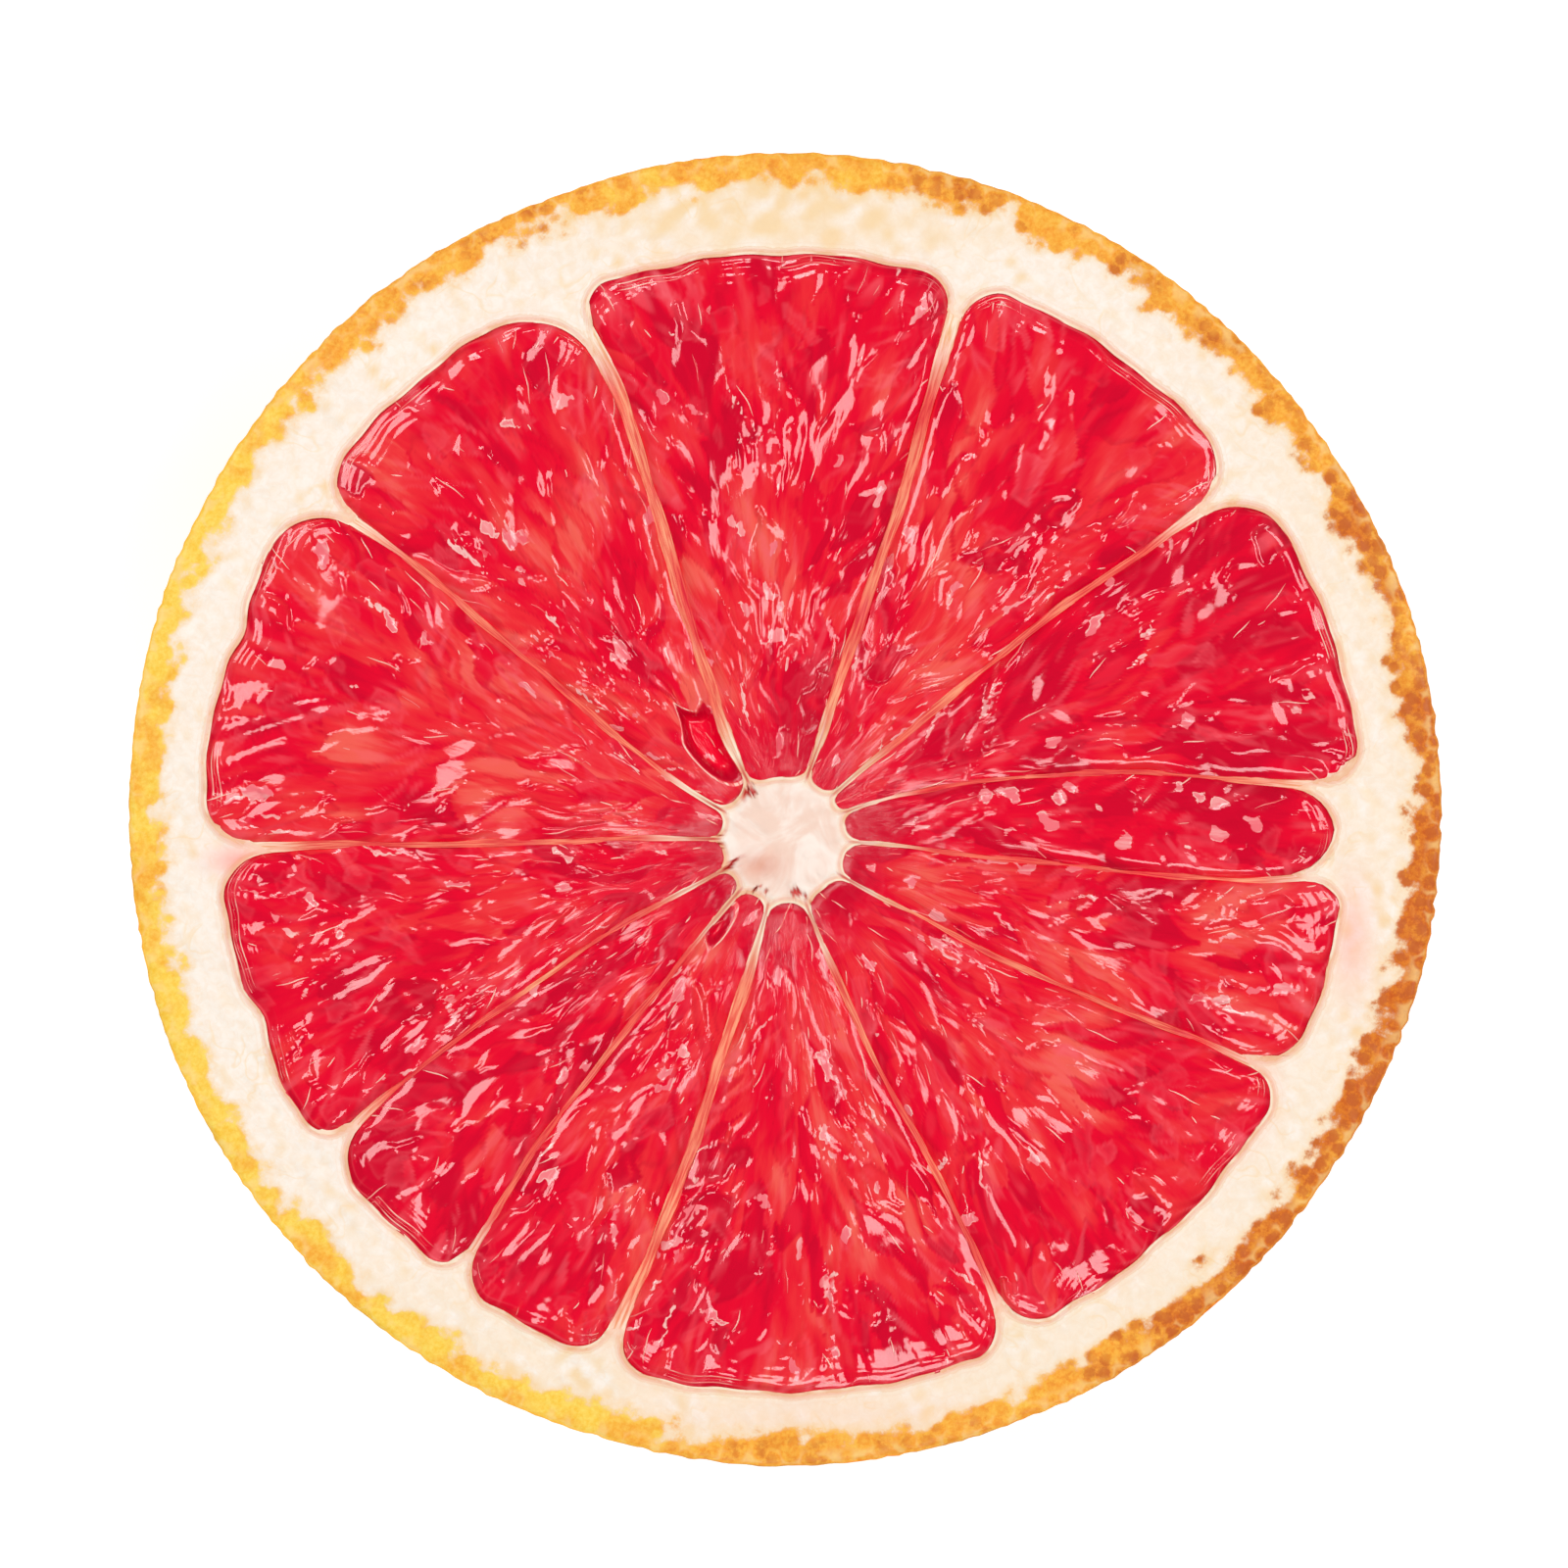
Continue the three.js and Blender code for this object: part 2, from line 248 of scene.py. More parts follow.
def rim_radius(angle):
    """Outside of the peel at the cut face, about the middle of the half."""
    wave = sum(size * np.cos(n * (angle - math.radians(crest))) for n, size, crest in WAVES)
    return CUT_RADIUS + wave


# ---------------------------------------------------------------- meshes


def make_piece(name, points, faces, attributes, plan, material, sharp=None):
    """A mesh object from points in mm, quads or triangles, per-point attributes and a flat plan."""
    mesh = bpy.data.meshes.new(name)
    loops = np.concatenate([part.ravel() for part in faces])
    sizes = np.concatenate([np.full(len(part), part.shape[1]) for part in faces])
    starts = np.concatenate([[0], np.cumsum(sizes)[:-1]])
    mesh.vertices.add(len(points))
    mesh.vertices.foreach_set("co", (points * MM).astype(np.float32).ravel())
    mesh.loops.add(len(loops))
    mesh.loops.foreach_set("vertex_index", loops.astype(np.int32))
    mesh.polygons.add(len(sizes))
    mesh.polygons.foreach_set("loop_start", starts.astype(np.int32))
    mesh.update(calc_edges=True)
    mesh.validate()
    mesh.shade_smooth()
    if sharp is not None:
        mesh.set_sharp_from_angle(angle=math.radians(sharp))
    for key, values in attributes.items():
        if values.ndim == 1:
            layer = mesh.attributes.new(key, "FLOAT", "POINT")
            layer.data.foreach_set("value", values.astype(np.float32))
        else:
            layer = mesh.attributes.new(key, "FLOAT_VECTOR", "POINT")
            layer.data.foreach_set("vector", values.astype(np.float32).ravel())
    corners = np.empty(len(mesh.loops), dtype=np.int32)
    mesh.loops.foreach_get("vertex_index", corners)
    chart = mesh.uv_layers.new(name="OFBake")
    chart.data.foreach_set("uv", plan[corners].astype(np.float32).ravel())
    chart.active_render = True
    mesh.materials.append(material)
    piece = bpy.data.objects.new(name, mesh)
    bpy.context.scene.collection.objects.link(piece)
    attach(piece, "root")
    return piece


def strip_faces(first, second, closed=True):
    """Quads between two rows of point numbers. They face up where both rows run clockwise, seen
    from above, and the second row is the outer one."""
    if closed:
        return np.stack([first, np.roll(first, -1), np.roll(second, -1), second], axis=1)
    return np.stack([first[:-1], first[1:], second[1:], second[:-1]], axis=1)


def strip_rows(numbers, closed=True):
    """Quads between all neighbouring rows of point numbers."""
    return np.concatenate([strip_faces(*pair, closed) for pair in zip(numbers, numbers[1:])])


def fan_faces(ring, hub, flip=False):
    """Triangles from a closed ring of point numbers to one point."""
    ends = np.stack([ring, np.roll(ring, -1), np.full(len(ring), hub)], axis=1)
    return ends[:, ::-1] if flip else ends


def body_points(seen, hidden, hubs):
    """Points of the seen rows, the hidden rows and two hubs, with the numbers of those in rows."""
    places = [np.concatenate(pair) for pair in zip(seen, hidden)]
    points = np.stack(places, axis=-1).reshape(-1, 3)
    return np.concatenate([points, hubs]), np.arange(len(points)).reshape(places[0].shape)


def padded(values, count, rest=0.0):
    """Values of rows of points as one list, filled up to this count for the points after them."""
    flat = values.reshape(-1, *values.shape[2:])
    return np.concatenate([flat, np.full((count - len(flat), *flat.shape[1:]), rest)])


# ---------------------------------------------------------------- shader helpers


class Field:
    """A value that varies over a surface: an output socket that can be reckoned with."""

    def __init__(self, shader, socket):
        self.shader = shader
        self.socket = socket

    def __add__(self, other):
        return self.shader.math("ADD", self, other)

    def __sub__(self, other):
        return self.shader.math("SUBTRACT", self, other)

    def __rsub__(self, other):
        return self.shader.math("SUBTRACT", other, self)

    def __mul__(self, other):
        return self.shader.math("MULTIPLY", self, other)

    def __truediv__(self, other):
        return self.shader.math("DIVIDE", self, other)

    def __abs__(self):
        return self.shader.math("ABSOLUTE", self)

    def range(self, low, high, to_low=0.0, to_high=1.0):
        """This value eased from one range to another one, and held at both ends."""
        numbers = {"Value": self, "From Min": low, "From Max": high, "To Min": to_low, "To Max": to_high}
        return self.shader.field("MapRange", "Result", numbers, interpolation_type="SMOOTHSTEP")


class Shader:
    """A material whose nodes are added by short calls."""

    def __init__(self, name):
        self.material = bpy.data.materials.new(name)
        self.material.use_nodes = True
        self.tree = self.material.node_tree
        self.tree.nodes.clear()

    def node(self, kind, inputs=None, **settings):
        made = self.tree.nodes.new("ShaderNode" + kind)
        for key, value in settings.items():
            setattr(made, key, value)
        for key, value in (inputs or {}).items():
            if isinstance(value, Field):
                self.tree.links.new(value.socket, made.inputs[key])
            else:
                made.inputs[key].default_value = value
        return made

    def field(self, kind, output, inputs=None, **settings):
        """One output of a new node."""
        return Field(self, self.node(kind, inputs, **settings).outputs[output])

    def attributes(self, names):
        """The mesh's own numbers with these names."""
        return [self.field("Attribute", "Fac", attribute_name=name) for name in names.split()]

    def attribute_vector(self, name):
        return self.field("Attribute", "Vector", attribute_name=name)

    def place(self):
        """Place on the object in millimetres."""
        coordinates = self.field("TexCoord", "Object")
        return self.field("VectorMath", "Vector", {0: coordinates, "Scale": 1.0 / MM}, operation="SCALE")

    def math(self, operation, first, second=0.0):
        return self.field("Math", "Value", {0: first, 1: second}, operation=operation)

    def noise(self, vector, scale, detail=2.0, roughness=0.5, distortion=0.0):
        numbers = {"Vector": vector, "Scale": scale, "Detail": detail}
        numbers.update({"Roughness": roughness, "Distortion": distortion})
        return self.field("TexNoise", "Fac", numbers)

    def cells(self, vector, scale, randomness):
        """Distance from the middle of the nearest of many round cells."""
        numbers = {"Vector": vector, "Scale": scale, "Randomness": randomness}
        return self.field("TexVoronoi", "Distance", numbers)

    def mix(self, factor, first, second):
        """Two colours mixed. A colour is a field, or three numbers as it looks on screen."""
        first, second = (colour(*tint) if isinstance(tint, tuple) else tint for tint in (first, second))
        return self.field("Mix", 2, {0: factor, 6: first, 7: second}, data_type="RGBA")

    def coats(self, base, *layers):
        """A colour with others laid over it in turn, each with how much of it shows."""
        for factor, tint in layers:
            base = self.mix(factor, base, tint)
        return base

    def bump(self, height, distance, strength):
        numbers = {"Height": height, "Distance": distance * MM, "Strength": strength}
        return self.field("Bump", "Normal", numbers)

    def finish(self, inputs):
        surface = self.field("BsdfPrincipled", "BSDF", inputs)
        self.node("OutputMaterial", {"Surface": surface})
        return self.material


def colour(red, green, blue):
    """A colour given as it looks on screen, 0 to 255, as linear light."""
    parts = []
    for value in (red, green, blue):
        part = value / 255.0
        parts.append(part / 12.92 if part <= 0.04045 else ((part + 0.055) / 1.055) ** 2.4)
    return (*parts, 1.0)


# ---------------------------------------------------------------- flesh

GRAIN = 0.2  # spacing of the points on the cut flesh
GRID_EASE = 0.55  # they stand closer together at its edges
WEDGE_ROOM = 0.8  # the two membranes beside a segment take about this much of its width
PLAN_STEP = 0.008  # each hidden ring is this much wider in a segment's flat plan than the one above
PILLOW = 0.42  # how far the flesh swells above its edge
END_DROP = 0.12  # its edge lies this far below the cut face at the pith
FAN = math.radians(24.0)  # how far the sacs turn off from the core, beside a membrane
COARSE = Lattice(1.0, 11)
FINE = Lattice(0.42, 12)
SAC_REACH = 49.0  # no sac has its middle farther from the core than about this
SAC_FLOOR = -0.16  # lowest places between the juice sacs
DARK_SACS = 0.13  # share of the sacs that look dark
GLINT_FLAKES_PER_AREA = 0.024  # torn bits of skin, painted as highlights, on each square millimetre
WISPS = 0.45  # this share of them are thin streaks of painted highlight

# How ripe each segment's flesh looks: below 0 it is crimson, above 0 it turns to orange.
RIPENESS = (-0.02, 0.04, -0.20, -0.32, 0.12, 0.05, 0.04, -0.02, -0.24, -0.06, 0.16, 0.10)

# Places where the flesh is torn into small bits: x, y and radius.
TORN = (
    (20.2, 19.0, 3.4), (42.0, 11.0, 2.8), (-37.8, -10.8, 3.4), (-26.5, -15.6, 3.0),
    (13.0, -11.6, 2.0), (35.8, -16.0, 2.4), (-15.6, 9.6, 3.4), (-0.4, 30.0, 3.0),
    (-8.5, -34.0, 2.6), (9.0, 21.5, 2.4), (-20.0, 14.0, 3.0), (29.0, 14.0, 3.2),
    (-1.5, 14.0, 3.0), (-9.5, -19.0, 2.4), (36.5, -8.5, 2.0), (-24.0, 22.5, 3.2),
    (-14.5, -35.0, 2.6), (3.0, -39.0, 2.6), (4.5, -28.0, 2.4),
)

# Places where the flesh is smooth: x, y and radius.
CALM = (
    (22.0, 32.0, 11.0), (31.0, -26.0, 9.0), (-26.0, -29.0, 6.0), (-33.0, 27.0, 5.0), (22.0, 0.6, 5.0),
    (-40.0, 5.0, 4.0), (36.0, 14.0, 6.5), (-33.0, -12.0, 5.0),
)

FILMS_PER_AREA = 0.07  # see-through torn walls on each square millimetre
THREADS_PER_AREA = 0.035
THREAD_HALF = 0.075  # half the width of a thread
THREAD_ROOM = 1.3  # no two threads have their middles closer than this

# Dark, smooth sacs: x, y, heading in degrees, half length and half width.
CELLS = (
    (-5.0, -28.8, 20.0, 2.3, 1.7), (-6.4, -33.6, 30.0, 3.0, 2.2), (-30.8, -15.6, 10.0, 2.8, 2.0),
    (-13.0, -29.5, -110.0, 2.6, 1.2), (-20.5, -30.0, -130.0, 2.4, 1.3), (17.5, 21.0, 10.0, 3.0, 1.2),
    (8.6, 12.0, 40.0, 2.4, 1.1), (2.6, 8.8, 80.0, 2.6, 1.2), (22.5, 24.5, 50.0, 2.6, 1.0),
    (-36.0, 27.5, 140.0, 2.6, 1.4), (40.0, 22.0, 60.0, 2.2, 1.3), (30.0, -33.5, -50.0, 2.4, 1.2),
)

# The largest bits of loose skin, painted as highlights: x, y, heading in degrees, half length and half
# width.
LARGE_GLINT_BITS = (
    (-26.7, -6.2, 0.0, 1.2, 0.9), (-31.2, -5.7, -60.0, 0.9, 0.5), (-11.2, -6.9, 0.0, 0.7, 0.5),
    (-11.8, -10.6, -30.0, 0.7, 0.45), (-17.9, -21.8, 10.0, 0.9, 0.7), (-15.8, -25.9, 90.0, 0.6, 0.45),
    (4.7, -23.7, 60.0, 0.7, 0.45), (-1.9, -32.2, -45.0, 1.2, 0.5), (-8.9, -36.6, -20.0, 0.9, 0.6),
    (5.2, -35.0, -60.0, 1.1, 0.55), (3.9, -44.4, 90.0, 0.7, 0.6), (7.6, -31.1, 75.0, 0.7, 0.3),
    (3.2, -20.2, -62.0, 1.9, 0.55), (12.3, -29.6, -55.0, 0.8, 0.6), (10.2, -25.1, -68.0, 1.1, 0.45),
    (20.6, -28.4, -50.0, 1.7, 0.7), (-5.4, -42.0, -35.0, 1.8, 0.4), (4.6, 28.6, 70.0, 1.5, 0.42),
    (-0.7, 21.6, 66.0, 1.2, 0.4), (-12.9, 12.7, 118.0, 1.6, 0.7), (-37.4, -33.4, 20.0, 1.0, 0.5),
    (-42.6, 1.4, 4.0, 2.6, 0.55), (-38.0, 21.4, 100.0, 1.6, 0.5), (-29.4, 13.8, 120.0, 1.3, 0.5),
    (25.6, 15.0, 58.0, 1.6, 0.6), (33.2, 7.6, 80.0, 1.2, 0.5), (35.8, -15.4, -12.0, 1.9, 0.5),
    (10.6, -12.0, -24.0, 1.4, 0.6), (-8.6, -15.0, -115.0, 1.8, 0.5), (-18.4, -6.6, 172.0, 0.9, 0.6),
    (22.2, 5.4, 15.0, 1.0, 0.5), (-22.4, 21.8, 128.0, 1.5, 0.45), (-16.4, -21.0, -140.0, 1.2, 0.5),
    (-30.0, -19.4, 210.0, 1.6, 0.5), (14.2, 18.4, 50.0, 1.3, 0.4), (-7.4, 33.0, 100.0, 1.2, 0.45),
    (-0.5, -13.9, -100.0, 1.9, 0.4), (3.5, -13.4, -60.0, 2.3, 0.42), (-2.8, -9.1, -115.0, 2.0, 0.4),
    (-0.2, 6.2, 88.0, 1.8, 0.35), (-6.2, 4.4, 110.0, 0.9, 0.35), (4.1, 4.1, 60.0, 1.1, 0.4),
    (-6.4, -0.6, 172.0, 2.2, 0.2), (-9.9, -3.6, 180.0, 2.4, 0.2), (7.0, -4.8, -20.0, 0.7, 0.4),
    (10.6, -5.9, -25.0, 1.0, 0.4), (10.7, -0.9, 5.0, 1.2, 0.3), (9.6, 3.4, 28.0, 1.4, 0.25),
    (33.9, 1.3, -50.0, 1.2, 0.7), (36.1, 0.8, 40.0, 1.4, 0.8), (38.4, -0.9, -45.0, 1.2, 0.7),
    (35.3, -2.1, 5.0, 1.3, 0.6), (32.4, 2.0, 80.0, 0.7, 0.4), (16.4, 1.2, -60.0, 1.2, 0.5),
    (17.6, 1.9, 100.0, 0.7, 0.5), (18.9, 0.8, -40.0, 1.3, 0.7), (22.4, 1.2, -55.0, 1.6, 0.55),
    (23.8, 1.8, -25.0, 1.1, 0.5), (25.8, 0.2, 30.0, 0.8, 0.5), (21.3, -0.9, -30.0, 1.5, 0.7),
    (18.3, -1.8, 0.0, 1.5, 0.6), (27.9, -2.7, 60.0, 1.0, 0.6), (20.2, -4.8, 15.0, 1.4, 0.6),
    (24.1, -4.9, -10.0, 1.2, 0.5),
)


def flesh_material():
    shader = Shader("flesh")
    names = "tone deep haze flake gleam thread thread_width"
    tone, deep, haze, flake, gleam, thread, thread_width = shader.attributes(names)
    flow = shader.attribute_vector("flow")
    fine = shader.noise(flow, 1.0, detail=3.0, roughness=0.6)

    # juice: crimson to coral, with painted shade in its creases and hollows and darker in its own dark
    # sacs, milky under torn walls, and with a painted pink sheen on the folds and the smooth outer ends
    tint = tone + fine.range(0.25, 0.75, -0.10, 0.10)
    juice = shader.coats(
        shader.mix(tint.range(0.0, 0.4), (216, 0, 44), (238, 2, 46)),
        (tint.range(0.42, 0.78), (243, 44, 54)),
        (tint.range(0.74, 1.14), (248, 96, 84)),
        (deep, (188, 0, 38)),
        (haze, (252, 104, 116)),
    )

    # thin bright lines: pale sac walls brightened into painted highlights, a hollow's pale lip, and painted
    # highlight lines along the folds
    line = (abs(thread) / (thread_width + 0.001)).range(1.0, 0.3)
    bright = shader.noise(flow, 0.3).range(0.4, 0.6)
    line_colour = shader.mix(bright, (248, 96, 98), (255, 200, 182))

    # torn bits of skin, painted as pink to white highlights, paler at their ragged tips
    ragged = flake + fine.range(0.3, 0.7, -0.08, 0.08)
    tip = ragged.range(0.18, 0.08) * shader.noise(flow, 0.45).range(0.5, 0.6) * 0.7
    bit = shader.coats(
        shader.mix(gleam, (247, 84, 104), (254, 160, 160)),
        (fine.range(0.5, 0.7, 0.0, 0.5), (255, 196, 190)),
        (tip, (255, 214, 204)),
    )
    glint_shows = ragged.range(0.0, 0.06) * gleam.range(0.0, 0.3)

    normal = shader.bump(fine + line, 0.04, 0.6)
    return shader.finish({
        "Base Color": shader.coats(juice, (line, line_colour), (glint_shows, bit)),
        "Roughness": 0.5,
        "IOR": 1.38,
        "Specular IOR Level": 0.0,
        "Coat Weight": 1.0,
        "Coat Roughness": 0.08,
        "Coat IOR": 1.5,
        "Normal": normal,
        "Coat Normal": normal,
    })


def wedge_points(index, across, along, level):
    """Polar places of a segment's points about the core, with their distances to its edges."""
    near_width = span(index, NEAR) * NEAR - WEDGE_ROOM
    far_width = span(index, FAR) * FAR - WEDGE_ROOM
    inner = tip_radius(across * near_width, (1.0 - across) * near_width) - REACH_IN
    edge = outer_radius(index, across * far_width, (1.0 - across) * far_width)
    outer = edge * level + END_REACH
    radius_at_cut = inner + (edge + END_REACH - inner) * along
    radius = inner + (outer - inner) * along
    left_side = (half_wall(index, radius_at_cut) - REACH_IN) / radius
    right_side = (half_wall(index + 1, radius_at_cut) - REACH_IN) / radius
    left = membrane_angle(index, radius_at_cut) - left_side
    right = membrane_angle(index + 1, radius_at_cut) + right_side
    angle = left + (right - left) * across
    to_side = np.minimum(across, 1.0 - across) * (left - right) * radius
    to_end = np.maximum(outer - END_REACH + REACH_IN - radius, 0.0)
    return radius, angle, to_side, to_end, radius - inner


def sac_heading(index, x, y):
    """Heading of the juice sacs: out from the core, and fanned towards the segment's sides."""
    radius = np.maximum(np.hypot(x, y - CORE_Y), 1.0)
    room = span(index, radius)
    middle = membrane_angle(index, radius) - 0.5 * room
    off = turn_between(middle, np.arctan2(y - CORE_Y, x))
    share = np.clip(2.0 * off / room, -1.0, 1.0)
    drift = 0.16 * ripple([x, y], 12.0, 300 + index, 5)
    return middle + off + FAN * share * smooth(5.0, 28.0, radius) + drift


def place_sacs(index, draws):
    """Middles of a segment's juice sacs with their lengths and widths, row by row from the core."""
    sacs = []
    distance = 5.5
    while distance < SAC_REACH:
        share = distance / SAC_REACH
        length = 6.0 + 4.0 * share
        width = 1.0 + 1.9 * share
        left, room = membrane_angle(index, distance), span(index, distance)
        number = max(1, round(room * distance / (0.72 * width)))
        for turn in range(number):
            angle = left - room * (turn + 0.5 + draws.uniform(-0.35, 0.35)) / number
            middle = around(distance + draws.uniform(-0.25, 0.25) * length, angle, CORE_Y)
            half_length = 0.5 * length * draws.uniform(0.7, 1.35)
            half_width = 0.5 * width * draws.uniform(0.75, 1.3)
            sacs.append((*middle, half_length, half_width))
        distance += 0.45 * length
    return sacs


def sac_relief(index, x, y, draws):
    """Height of the sacs over these places, how far they stand over the next ones, and their tone."""
    warp_x, warp_y = warped(x, y, (0.25, 6.0, 900 + index, 940 + index))
    top, below = np.full((2, *x.shape), SAC_FLOOR)
    tone, below_tone = np.full((2, *x.shape), 0.3)
    for middle_x, middle_y, length, width in place_sacs(index, draws):
        middle = np.array([middle_x]), np.array([middle_y])
        heading = sac_heading(index, *middle)[0] + draws.normal() * 0.13
        is_proud = draws.uniform() < 0.05 + 0.5 * spot_weight(*middle, TORN)[0]
        rise = (0.05 + 0.035 * width) * (3.0 if is_proud else 1.0)
        base = draws.uniform(-0.05, 0.03) * (2.5 if is_proud else 1.0)
        lean = draws.normal() * (0.16 if is_proud else 0.04)
        tilt = draws.normal() * 0.03
        is_cut = draws.uniform() < 0.65
        own_tone = draws.uniform() if draws.uniform() > DARK_SACS else -0.8
        close = np.hypot(warp_x - middle_x, warp_y - middle_y) < 1.2 * length
        along, aside = turned(warp_x[close] - middle_x, warp_y[close] - middle_y, heading)
        end = along / length
        girth = width * np.sqrt(np.clip(1.0 - end * end, 0.03, 1.0)) * (0.85 + 0.25 * end)
        dome = rise * (1.0 - (aside / girth) ** 2 - smooth(0.75, 1.15, np.abs(end)))
        if is_cut:
            lid = 0.45 * rise + lean * aside
            dome = lid + 0.5 * (dome - lid - np.sqrt((dome - lid) ** 2 + 0.001))
        height = np.maximum(dome + base + tilt * along, SAC_FLOOR)
        higher = height > top[close]
        second = ~higher & (height > below[close])
        below_tone[close] = np.where(higher, tone[close], np.where(second, own_tone, below_tone[close]))
        below[close] = np.where(higher, top[close], np.where(second, height, below[close]))
        tone[close] = np.where(higher, own_tone, tone[close])
        top[close] = np.where(higher, height, top[close])
    share = 0.5 + 0.5 * smooth(0.0, 0.03, top - below)
    return top, top - below, tone * share + below_tone * (1.0 - share)


def spot_weight(x, y, spots):
    """1 in the middle of one of these round spots, 0 away from all of them."""
    weight = np.zeros_like(x)
    for spot_x, spot_y, size in spots:
        weight = np.maximum(weight, np.exp(-((x - spot_x) ** 2 + (y - spot_y) ** 2) / size**2))
    return weight


def place_flake_glints(index, x, y, draws):
    """Torn bits of skin, painted as highlights, as x, y, heading, half length, half width, paleness and
    whether it is a wisp.
    """
    picks = draws.integers(x.size, size=round(x.size * GRAIN**2 * GLINT_FLAKES_PER_AREA))
    places = [(x.flat[pick], y.flat[pick]) for pick in picks]
    for torn_x, torn_y, size in TORN:
        if np.min(np.hypot(x - torn_x, y - torn_y)) < 1.0:
            spots = draws.normal(size=(round(3.2 * size), 2)) * 0.55 * size
            places += [(torn_x + spot[0], torn_y + spot[1]) for spot in spots]
    flake_glints = []
    for place in places:
        middle = [np.array(part) for part in place]
        near_core = np.hypot(middle[0], middle[1] - CORE_Y) < 11.0
        if near_core or draws.uniform() < 1.3 * spot_weight(*middle, CALM):
            continue
        is_wisp = draws.uniform() < WISPS
        heading = sac_heading(index, *middle) + draws.normal() * (0.16 if is_wisp else 0.35)
        size = draws.uniform() ** 2
        if is_wisp:
            length, width, pale = 0.7 + 2.6 * size, draws.uniform(0.10, 0.16), draws.uniform(0.3, 1.0)
        else:
            length, width, pale = 0.35 + 1.3 * size, 0.18 + 0.38 * size, draws.uniform(0.0, 0.8)
        flake_glints.append((*place, heading, length, width, pale, is_wisp))
    for middle_x, middle_y, degrees, length, width in LARGE_GLINT_BITS:
        if np.min(np.hypot(x - middle_x, y - middle_y)) < 1.0:
            flake_glints.append((middle_x, middle_y, math.radians(degrees), length, width, 0.35, False))
    return flake_glints


def cut_corner(inside, along, aside, size, corner, share):
    """Distance inside a bit whose outline is also cut straight across, at a share of its half size."""
    part_along, part_aside = math.cos(corner), math.sin(corner)
    reach = share * (size[0] * abs(part_along) + size[1] * abs(part_aside))
    return np.minimum(inside, reach - along * part_along - aside * part_aside)


def flake_glint_field(index, x, y, draws):
    """Distance to the edge of a torn bit of skin painted as a highlight, over 0 inside it, and how pale
    that bit is.
    """
    pushes = (0.09, 0.9, 960 + index, 980 + index), (0.10, 2.2, 961 + index, 981 + index)
    warp_x, warp_y = warped(x, y, *pushes)
    field = np.full(x.shape, -0.6)
    gleam = np.zeros(x.shape)
    for middle_x, middle_y, heading, length, width, pale, is_wisp in place_flake_glints(index, x, y, draws):
        bend = draws.normal() * 0.09
        close = np.hypot(x - middle_x, y - middle_y) < length + 1.0
        along, aside = turned(warp_x[close] - middle_x, warp_y[close] - middle_y, heading)
        aside = aside + bend * along**2
        girth = width * (1.0 - 0.7 * (along / length) ** 2)
        inside = np.minimum(length - np.abs(along), girth - np.abs(aside))
        if not is_wisp:
            for corner in draws.uniform(0.0, math.tau, 3):
                inside = cut_corner(inside, along, aside, (length, width), corner, draws.uniform(0.12, 0.6))
        higher = inside > field[close]
        field[close] = np.where(higher, inside, field[close])
        gleam[close] = np.where(higher, pale, gleam[close])
    return field, gleam


def scattered(index, x, y, draws, per_area, spread):
    """Random places on a segment, each with a heading near that of the sacs. Draws as it goes."""
    for pick in draws.integers(x.size, size=round(x.size * GRAIN**2 * per_area)):
        middle = np.array([x.flat[pick]]), np.array([y.flat[pick]])
        yield middle[0][0], middle[1][0], sac_heading(index, *middle)[0] + draws.normal() * spread


def thread_field(index, x, y, draws):
    """Distance off the nearest thread, with its sign, and that thread's half width there.

    A thread is a fine edge of a sac's wall that runs along the sacs, pale in itself and brightened as a
    painted highlight.
    """
    off = np.full(x.shape, 9.0)
    width = np.zeros(x.shape)
    middles = []
    for middle_x, middle_y, heading in scattered(index, x, y, draws, THREADS_PER_AREA, 0.20):
        length = 0.4 + 1.3 * draws.uniform() ** 2
        bend = draws.normal() * 0.05
        if any(math.hypot(middle_x - other[0], middle_y - other[1]) < THREAD_ROOM for other in middles):
            continue
        middles.append((middle_x, middle_y))
        close = np.hypot(x - middle_x, y - middle_y) < length + 0.5
        along, aside = turned(x[close] - middle_x, y[close] - middle_y, heading)
        aside = aside + bend * along**2 + 0.03 * np.sin(3.0 * along + heading)
        taper = np.clip(1.0 - (along / length) ** 2, 0.0, 1.0)
        own = THREAD_HALF * taper * smooth(0.42, 0.25, np.abs(aside))
        nearer = own > width[close]
        off[close] = np.where(nearer, aside, off[close])
        width[close] = np.where(nearer, own, width[close])
    return off, width


def film_haze(index, x, y):
    """Paleness of the torn, see-through walls that lie over each other: most at an edge, fading from it."""
    draws = np.random.default_rng(8000 + index)
    haze = np.zeros(x.shape)
    warp_x, warp_y = warped(x, y, (0.12, 2.0, 91, 92))
    for middle_x, middle_y, heading in scattered(index, x, y, draws, FILMS_PER_AREA, 0.45):
        size = draws.uniform(0.8, 3.4), draws.uniform(0.4, 1.3)
        strength, fade = draws.uniform(0.1, 0.55), draws.uniform(0.12, 0.55)
        corners = draws.uniform(0.0, math.tau, 3)
        close = np.hypot(x - middle_x, y - middle_y) < size[0] + 1.0
        along, aside = turned(warp_x[close] - middle_x, warp_y[close] - middle_y, heading)
        inside = np.minimum(size[0] - np.abs(along), size[1] - np.abs(aside))
        for corner, share in zip(corners, draws.uniform(0.3, 0.9, 3)):
            inside = cut_corner(inside, along, aside, size, corner, share)
        own = strength * smooth(0.0, 0.24, inside) * np.exp(-np.maximum(inside, 0.0) / fade)
        haze[close] = np.maximum(haze[close], own)
    return haze


